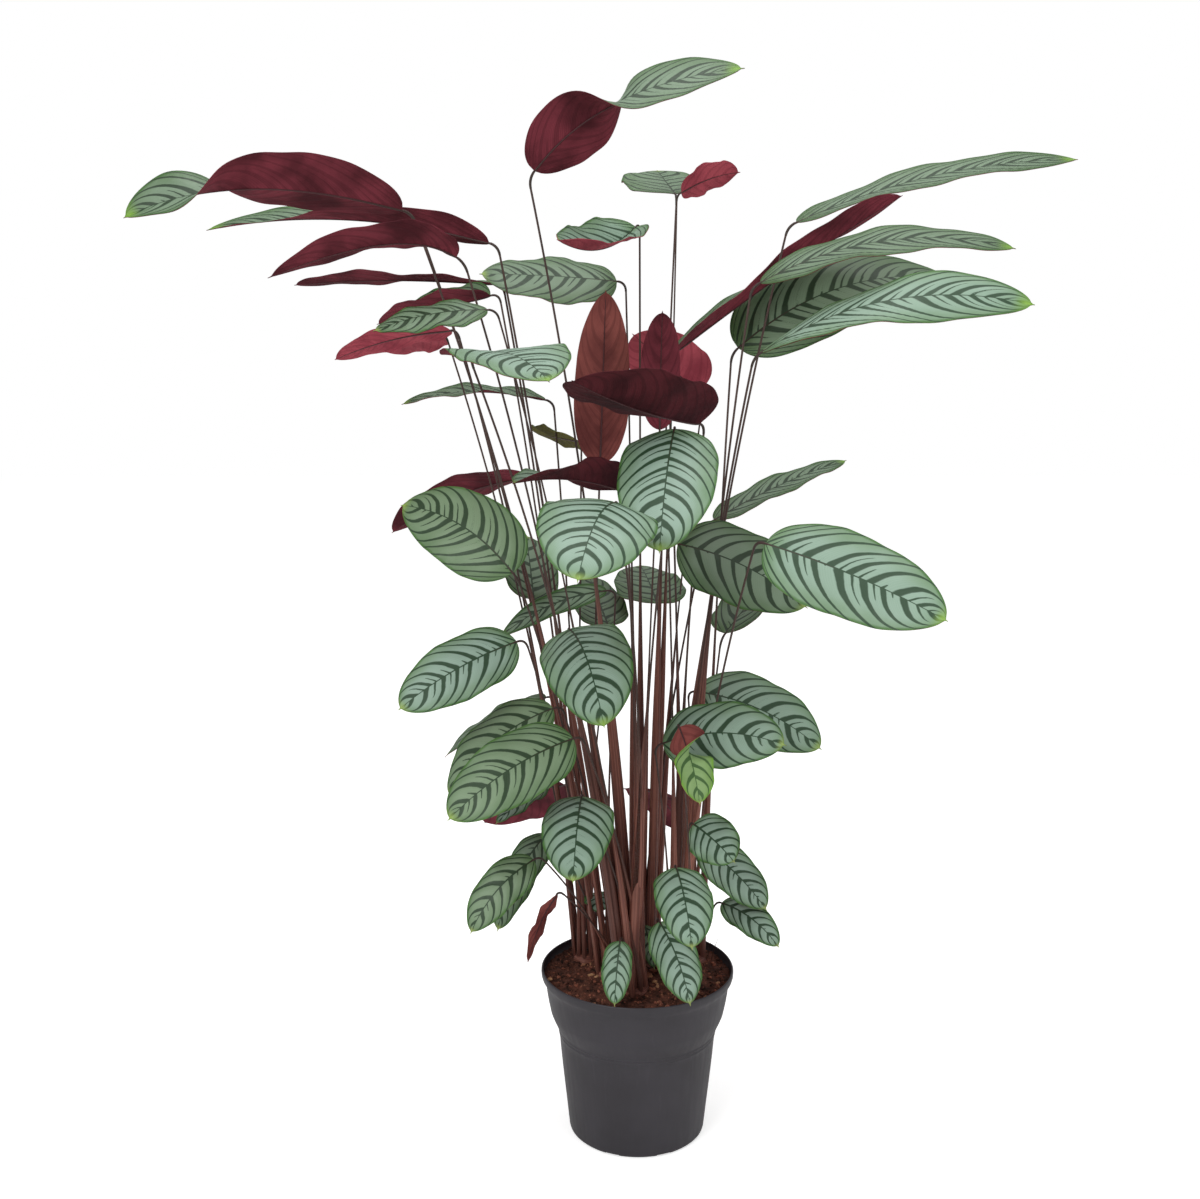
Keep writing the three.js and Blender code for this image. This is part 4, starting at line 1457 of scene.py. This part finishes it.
@dataclass
class Shoot:
    """A clump of sheathed petioles on its crown, with the leaves that they carry."""

    plan: ShootPlan
    leaves: list[Leaf]
    finishes: Finishes
    first_seed: int = 4000
    foot_sink: float = 8.0 * MM
    crown_radius: float = 19.0 * MM
    crown_height: float = 9.0 * MM
    crown_share: float = 0.86
    crown_faces: tuple[int, int] = (28, 14)
    crown_lumps: float = 0.22
    crown_lump_scale: float = 120.0
    outer_feet: float = 0.68
    inner_feet: float = 0.34
    inner_share: float = 0.3
    petiole_rise: float = 0.5
    petiole_lean: float = 0.2
    petiole_radius: float = 1.15 * MM
    full_sheath: float = 650.0 * MM
    least_sheath: float = 0.35
    sheath_taper: float = 0.5
    sheath_end: Span = (0.25, 0.62)
    sheath_furrow: float = 0.3
    steps: int = 44
    sides: int = 14

    def bearing(self, leaf: Leaf) -> float:
        """The direction from the crown to the leaf's base."""
        return math.atan2(leaf.plan.base[1] - self.plan.y, leaf.plan.base[0] - self.plan.x)

    def slope(self, leaf: Leaf) -> float:
        """How far the leaf's base lies from the crown, for its height over the soil."""
        reach = math.hypot(leaf.plan.base[0] - self.plan.x, leaf.plan.base[1] - self.plan.y)
        return reach / (leaf.plan.base[2] - SOIL_LEVEL / MM)

    def feet(self) -> dict[str, np.ndarray]:
        """Where each petiole stands: the steepest inside, the others round them, by direction.

        Returns:
            The foot of each leaf's petiole, by the leaf's name.
        """
        steep_first = sorted(self.leaves, key=self.slope)
        inner = math.floor(self.inner_share * len(self.leaves))
        feet = {}
        rings = (steep_first[:inner], self.inner_feet), (steep_first[inner:], self.outer_feet)
        for ring, share in rings:
            for index, leaf in enumerate(sorted(ring, key=self.bearing)):
                _, x, y = on_ring(index, len(ring), share * self.crown_radius, -math.pi)
                feet[leaf.plan.name] = np.array([self.plan.x * MM + x, self.plan.y * MM + y,
                                                 SOIL_LEVEL - self.foot_sink])
        return feet

    def petiole_corner(self, foot: np.ndarray, leaf: Leaf) -> np.ndarray:
        """The point that bends a petiole.

        Args:
            foot: where the petiole stands.
            leaf: the leaf that it carries.

        Returns:
            The point, in metres.
        """
        goal = place(leaf.plan.base)
        share = np.array([self.petiole_lean, self.petiole_lean, self.petiole_rise])
        return foot + (goal - foot) * share + place((*leaf.plan.sway, 0.0))

    def petiole(self, leaf: Leaf, foot: np.ndarray, corner: np.ndarray) -> bpy.types.Object:
        """A petiole whose lower part is a clasping sheath with an open edge.

        Args:
            leaf: the leaf that it carries.
            foot: where it stands.
            corner: the point that bends it.

        Returns:
            The petiole.
        """
        arc = Arc(foot, corner, leaf.joint(corner).start)
        parts = np.linspace(0.0, 1.0, self.steps + 1)
        scale = min(max(arc.length() / self.full_sheath, self.least_sheath), 1.0)
        thinning = smoothstep(parts, *self.sheath_end)
        sheath = self.plan.sheath * MM * scale * (1 - self.sheath_taper * parts)
        radii = sheath * (1 - thinning) + self.petiole_radius * leaf.stoutness * thinning
        draw = random.Random(self.first_seed + leaf.order)
        rod = tube(f"{leaf.plan.name}_petiole", arc.points(parts), radii, self.sides,
                   seam=draw.uniform(0.0, FULL_TURN), furrow=self.sheath_furrow * (1 - thinning))
        Modeller.tone(rod, draw.uniform(0.0, 1.0))
        return rod

    def crown(self) -> bpy.types.Object:
        """The brown base that the petioles grow from, half sunk in the soil."""
        centre = (self.plan.x * MM, self.plan.y * MM, SOIL_LEVEL)
        segments, rings = self.crown_faces
        crown = Modeller.add(f"crown_{self.plan.name}", bpy.ops.mesh.primitive_uv_sphere_add,
                             segments=segments, ring_count=rings, radius=1.0, location=centre)
        width = self.crown_share * self.crown_radius
        crown.scale = (width, width, self.crown_height)
        bpy.ops.object.transform_apply(location=True, rotation=False, scale=True)
        points = Modeller.read(crown)
        lumps = np.array([noise.noise(Vector(point * self.crown_lump_scale)) for point in points])
        Modeller.write(crown, points + (points - np.array(centre)) * self.crown_lumps * lumps[:, None])
        crown.data.uv_layers[0].name = "blade"
        Modeller.tone(crown, 0.0)
        return crown

    def build(self) -> list[bpy.types.Object]:
        """Models the petioles, the crown and the leaves.

        Returns:
            The finished pieces.
        """
        feet = self.feet()
        rods, made = [], []
        for leaf in self.leaves:
            foot = feet[leaf.plan.name]
            corner = self.petiole_corner(foot, leaf)
            rods.append(self.petiole(leaf, foot, corner))
            made.append(leaf.build(corner))
        clump = Modeller.join(f"petioles_{self.plan.name}", [*rods, self.crown()])
        return [Modeller.dress(clump, Slot.STEM, f"shoot_{self.plan.name}", self.finishes.stem), *made]


@dataclass
class Pot:
    """The nursery pot: a spun wall with a collar, a rolled rim, drain holes and foot slots.

    The sizes are in millimetres. outline runs up the outside, from the foot to the rim, as pairs
    of radius and height, and the inside is the outline moved in by the wall between its ends.
    """

    finishes: Finishes
    wall: float = 2.0
    outline: list[Span] = field(default_factory=lambda: [
        (70.0, 0.0), (72.4, 0.7), (74.2, 2.4), (75.0, 5.0), (77.8, 32.0), (80.4, 56.0), (82.8, 79.0),
        (84.3, 95.0), (85.4, 108.0), (86.0, 113.4), (86.5, 114.0), (86.5, 115.0), (86.2, 115.6),
        (86.7, 118.0), (87.3, 118.6), (87.3, 119.6), (87.2, 120.4), (88.2, 122.6), (90.6, 128.0),
        (93.2, 134.0), (94.6, 137.6), (95.2, 139.6), (95.6, 141.6), (97.9, 153.0), (99.3, 162.0),
        (100.0, 168.0), (101.0, 173.0), (102.8, 176.5), (104.6, 179.0), (105.3, 181.5),
        (105.5, 184.5), (105.4, 186.6), (104.9, 187.6), (104.2, 188.0)])
    inside: Span = (5.0, 187.0)
    inner_rim: Span = (103.4, 187.6)
    inner_foot: list[Span] = field(default_factory=lambda: [(72.6, 4.2), (70.0, 2.4), (68.0, 2.0)])
    steps: int = 128
    crisp: float = 40.0
    hole_radius: float = 5.0
    hole_ring: float = 48.0
    hole_count: int = 6
    hole_sides: int = 32
    slot_count: int = 8
    slot_size: Xyz = (12.0, 16.0, 5.0)
    slot_ring: float = 70.0

    def profile(self) -> list[Span]:
        """The wall's closed outline from the axis out, over the rim and back to the axis."""
        low, high = self.inside
        inner = [(radius - self.wall, height) for radius, height in reversed(self.outline)
                 if low < height < high]
        return [(0.0, 0.0), *self.outline, self.inner_rim, *inner, *self.inner_foot, (0.0, self.wall)]

    def shell(self) -> bpy.types.Object:
        """Spins the outline round the upright axis."""
        shell = Modeller.add("pot_body", bpy.ops.mesh.primitive_plane_add, size=1.0)
        with edit_mode():
            bpy.ops.mesh.delete(type="VERT")
        points = [(radius * MM, 0.0, height * MM) for radius, height in self.profile()]
        edges = [(index, index + 1) for index in range(len(points) - 1)]
        shell.data.from_pydata(points, edges, [])
        with edit_mode():
            bpy.ops.mesh.spin(steps=self.steps, angle=FULL_TURN, center=(0, 0, 0), axis=(0, 0, 1))
        Modeller.weld(shell, close=False)
        return shell

    def hole(self, index: int) -> bpy.types.Object:
        """The space of one drain hole, counted round the floor."""
        _, x, y = on_ring(index, self.hole_count, self.hole_ring * MM)
        return Modeller.add("hole", bpy.ops.mesh.primitive_cylinder_add, location=(x, y, 0.0),
                            vertices=self.hole_sides, radius=self.hole_radius * MM, depth=4 * self.wall * MM)

    def slot(self, index: int) -> bpy.types.Object:
        """The space of one slot under the foot, counted round it."""
        angle, x, y = on_ring(index, self.slot_count, self.slot_ring * MM)
        cutter = Modeller.add("slot", bpy.ops.mesh.primitive_cube_add, size=MM,
                              rotation=(0.0, 0.0, angle), location=(x, y, 0.0))
        cutter.scale = self.slot_size
        bpy.ops.object.transform_apply(location=True, rotation=True, scale=True)
        return cutter

    def build(self) -> list[bpy.types.Object]:
        """Models the pot and hands it to the frame.

        Returns:
            The finished pot.
        """
        shell = self.shell()
        for count, space in ((self.hole_count, self.hole), (self.slot_count, self.slot)):
            for index in range(count):
                cutter = space(index)
                Modeller.apply(shell, "BOOLEAN", operation="DIFFERENCE", solver="EXACT", object=cutter)
                bpy.data.objects.remove(cutter)
        return [Modeller.dress(shell, Slot.POT, "pot", self.finishes.pot, self.crisp)]


@dataclass(frozen=True)
class Litter:
    """One kind of loose bits on the soil, with sizes in millimetres.

    sizes are the least and greatest radius, tones the darkest and lightest tone, and flat is the
    height of a bit as a share of its width.
    """

    name: str
    count: int
    sizes: Span
    tones: Span
    flat: float
    seed: int


@dataclass
class Soil:
    """The potting soil: a rough mound with loose crumbs, chips of bark and dry fibres.

    lumps pairs the scale of each layer of roughness with its share. Each fibre runs from its foot
    in the soil to its end, in millimetres.
    """

    finishes: Finishes
    mound: float = 4.0 * MM
    mound_radius: float = 32.0 * MM
    radius: float = 102.0 * MM
    depth: float = 34.0 * MM
    skirt: float = 0.9
    rows: int = 130
    roughness: float = 2.6 * MM
    lumps: tuple[Span, ...] = ((55.0, 1.0), (140.0, 0.6), (380.0, 0.45), (900.0, 0.3))
    sink: float = 0.7
    tone_level: float = 0.35
    tone_spread: float = 0.3
    tone_scale: float = 90.0
    crisp: float = 70.0
    litters: tuple[Litter, ...] = (Litter("crumbs", 1900, (0.7, 2.8), (0.1, 0.95), 0.7, 31),
                                   Litter("bark_chips", 80, (2.2, 5.0), (0.6, 1.25), 0.45, 77))
    litter_shapes: int = 5
    litter_breaks: Span = (0.6, 1.3)
    litter_width: float = 0.75
    litter_margin: float = 4.0 * MM
    litter_lean: float = 0.6
    litter_lift: float = 0.2
    small_share: float = 2.2
    fibre_radius: float = 0.45 * MM
    fibre_bend: float = 0.2
    fibre_taper: float = 0.7
    fibre_tone: float = 0.25
    fibre_faces: tuple[int, int] = (8, 6)
    fibres: list[tuple[Xyz, Xyz]] = field(default_factory=lambda: [
        ((-62, 44, 178), (-84, 36, 202)), ((-60, 46, 178), (-78, 44, 206)),
        ((-66, 40, 178), (-92, 34, 196)), ((-56, 50, 178), (-68, 54, 208)),
        ((84, 36, 178), (92, 34, 206)), ((80, 40, 178), (84, 38, 200)),
        ((-70, -30, 178), (-78, -34, 194)), ((30, -70, 178), (38, -74, 190))])

    def height(self, x: float, y: float) -> float:
        """The height of the soil's surface at a place, in metres."""
        mound = self.mound * (1 - smoothstep(math.hypot(x, y), self.mound_radius, self.radius))
        rough = sum(share * noise.noise(Vector((x, y, 0.0)) * scale) for scale, share in self.lumps)
        return SOIL_LEVEL + mound + self.roughness * (rough - self.sink)

    def surface(self) -> bpy.types.Object:
        """The rough disc with a skirt and a flat underside."""
        disc = Modeller.grid("soil_surface", self.rows, self.rows)
        square = Modeller.read(disc)[:, :2] * 2.0
        bound = np.abs(square).max(axis=1)
        reach = np.hypot(square[:, 0], square[:, 1])
        shrink = np.where(reach > 0, bound / np.maximum(reach, 1e-9), 1.0)
        plane = square * shrink[:, None] * self.radius
        heights = np.array([self.height(x, y) for x, y in plane])
        Modeller.write(disc, np.column_stack([plane, heights]))
        with edit_mode():
            bpy.ops.mesh.region_to_loop()
            bpy.ops.mesh.extrude_region_move(TRANSFORM_OT_translate={"value": (0, 0, -self.depth)})
            bpy.ops.transform.resize(value=(self.skirt, self.skirt, 1.0), center_override=(0, 0, 0))
            bpy.ops.mesh.fill()
        Modeller.weld(disc, close=False)
        patches = [noise.noise(Vector(point) * self.tone_scale) for point in Modeller.read(disc)]
        Modeller.tone(disc, self.tone_level + self.tone_spread * np.array(patches))
        return Modeller.dress(disc, Slot.SOIL, "soil", self.finishes.soil, self.crisp)

    def bit(self, seed: int, flat: float) -> tuple[np.ndarray, np.ndarray]:
        """One broken bit of radius about 1.

        Args:
            seed: the start of its random draws.
            flat: its height as a share of its width.

        Returns:
            Its vertices and its triangles.
        """
        ball = Modeller.add("bit", bpy.ops.mesh.primitive_ico_sphere_add, subdivisions=1, radius=1.0)
        draw = random.Random(seed)
        points = Modeller.read(ball)
        breaks = np.array([[draw.uniform(*self.litter_breaks)] for _ in points])
        faces = np.array([list(polygon.vertices) for polygon in ball.data.polygons])
        bpy.data.objects.remove(ball)
        return points * breaks * np.array([1.0, self.litter_width, flat]), faces

    def scatter(self, litter: Litter) -> bpy.types.Object:
        """Strews one kind of bits over the soil.

        Args:
            litter: which kind.

        Returns:
            All its bits as one piece.
        """
        draw = random.Random(litter.seed)
        shapes = [self.bit(litter.seed + index, litter.flat) for index in range(self.litter_shapes)]
        least, most = litter.sizes
        points, faces, tones, start = [], [], [], 0
        for _ in range(litter.count):
            shape, triangles = draw.choice(shapes)
            reach = (self.radius - self.litter_margin) * math.sqrt(draw.random())
            bearing = draw.uniform(0.0, FULL_TURN)
            x, y = reach * math.cos(bearing), reach * math.sin(bearing)
            size = (least + (most - least) * draw.random() ** self.small_share) * MM
            turn = draw.uniform(0.0, FULL_TURN)
            lean = draw.uniform(-self.litter_lean, self.litter_lean)
            turned = np.array(Matrix.Rotation(turn, 3, "Z") @ Matrix.Rotation(lean, 3, "Y"))
            middle = (x, y, self.height(x, y) + self.litter_lift * size)
            points.append(shape @ turned.T * size + middle)
            faces.append(triangles + start)
            tones.append(np.full(len(shape), draw.uniform(*litter.tones)))
            start += len(shape)
        mesh = bpy.data.meshes.new(litter.name)
        mesh.from_pydata(np.vstack(points).tolist(), [], np.vstack(faces).tolist())
        strewn = bpy.data.objects.new(litter.name, mesh)
        bpy.context.scene.collection.objects.link(strewn)
        Modeller.tone(strewn, np.concatenate(tones))
        return Modeller.dress(strewn, Slot.SOIL, "soil", self.finishes.soil, crisp=None)

    def dry_fibres(self) -> bpy.types.Object:
        """Thin dry fibres that stand up out of the soil."""
        steps, sides = self.fibre_faces
        parts = np.linspace(0.0, 1.0, steps + 1)
        radii = self.fibre_radius * (1.0 - self.fibre_taper * parts)
        made = []
        for foot, end in ((place(foot), place(end)) for foot, end in self.fibres):
            lift = self.fibre_bend * (end - foot)[2] * np.array(UP)
            made.append(tube("fibre", Arc(foot, (foot + end) / 2 + lift, end).points(parts), radii, sides))
        fibres = Modeller.join("dry_fibres", made)
        Modeller.tone(fibres, self.fibre_tone)
        return Modeller.dress(fibres, Slot.SOIL, "soil", self.finishes.soil, crisp=None)

    def build(self) -> list[bpy.types.Object]:
        """The soil's surface, its crumbs, the chips of bark and the dry fibres."""
        return [self.surface(), *(self.scatter(litter) for litter in self.litters), self.dry_fibres()]


@dataclass(frozen=True)
class Lamp:
    """A soft square light that stands at spot and shines at aim, in metres and watts."""

    name: str
    spot: Xyz
    aim: Xyz
    size: float
    power: float

    def build(self) -> None:
        """Adds the light."""
        lamp = Modeller.add(self.name, bpy.ops.object.light_add, type="AREA", location=self.spot)
        lamp.data.size = self.size
        lamp.data.energy = self.power
        way = Vector(self.aim) - Vector(self.spot)
        lamp.rotation_euler = way.to_track_quat("-Z", "Y").to_euler()


@dataclass
class Studio:
    """The plain pale floor, the soft lights and the camera at the photograph's angle."""

    finishes: Finishes
    camera_place: Xyz = (-0.041, -1.560, 0.890)
    camera_pitch: float = 10.6
    focal_pixels: float = 1510.0
    image_width: float = 1200.0
    sensor: float = 36.0
    floor_size: float = 14.0
    sky_light: float = 0.46
    sky_seen: float = 1.0
    lamps: tuple[Lamp, ...] = (Lamp("key_light", (-1.5, -2.4, 2.6), (0.0, 0.0, 0.6), 1.6, 42.0),
                               Lamp("fill_light", (1.9, -1.9, 1.5), (0.0, 0.0, 0.6), 1.8, 14.0),
                               Lamp("top_light", (0.0, 0.2, 3.0), (0.0, 0.0, 0.5), 1.8, 24.0))

    def sky(self) -> None:
        """A white surround that the camera sees as paper white and that lights the plant softly."""
        world = bpy.data.worlds.new("studio")
        world.use_nodes = True
        bpy.context.scene.world = world
        graph = Graph(world.node_tree)
        seen = graph.wire("ShaderNodeLightPath", {}, output="Is Camera Ray")
        ends = {"Value": seen, "To Min": self.sky_light, "To Max": self.sky_seen}
        background = graph.tree.nodes["Background"]
        background.inputs["Color"].default_value = linear(WHITE)
        graph.feed(background.inputs["Strength"], graph.wire("ShaderNodeMapRange", ends))
        bpy.context.scene.view_settings.view_transform = "Standard"

    def camera(self) -> None:
        """Puts the camera where the photograph was taken from."""
        camera = Modeller.add("camera", bpy.ops.object.camera_add, location=self.camera_place,
                              rotation=(math.radians(90.0 - self.camera_pitch), 0, 0))
        camera.data.sensor_width = self.sensor
        camera.data.lens = self.focal_pixels / self.image_width * self.sensor
        bpy.context.scene.camera = camera

    def floor(self) -> None:
        """The pale floor under the pot."""
        floor = Modeller.add("floor", bpy.ops.mesh.primitive_plane_add, size=self.floor_size)
        floor.data.materials.append(self.finishes.floor)

    def build(self) -> None:
        """Sets up the floor, the lights, the surround and the camera."""
        self.floor()
        for lamp in self.lamps:
            lamp.build()
        self.sky()
        self.camera()


@dataclass
class Plant:
    """The whole plant in its pot."""

    finishes: Finishes

    def build(self) -> list[bpy.types.Object]:
        """Models the pot, the soil and the six shoots with their leaves.

        Returns:
            The finished pieces.
        """
        pieces = [*Pot(self.finishes).build(), *Soil(self.finishes).build()]
        leaves = [Leaf(plan, order, self.finishes) for order, plan in enumerate(LEAVES)]
        for plan in SHOOTS:
            own = [leaf for leaf in leaves if leaf.plan.shoot == plan.name]
            pieces += Shoot(plan, own, self.finishes).build()
        return pieces


def main() -> None:
    """Builds the plant and the studio round it, and reports each piece."""
    logging.basicConfig(level=logging.INFO, format="%(name)s %(message)s")
    finishes = Finishes()
    for piece in Plant(finishes).build():
        mesh = piece.data
        log.info("%s: %d vertices, %d faces", piece.name, len(mesh.vertices), len(mesh.polygons))
    Studio(finishes).build()


if __name__ == "__main__":
    main()
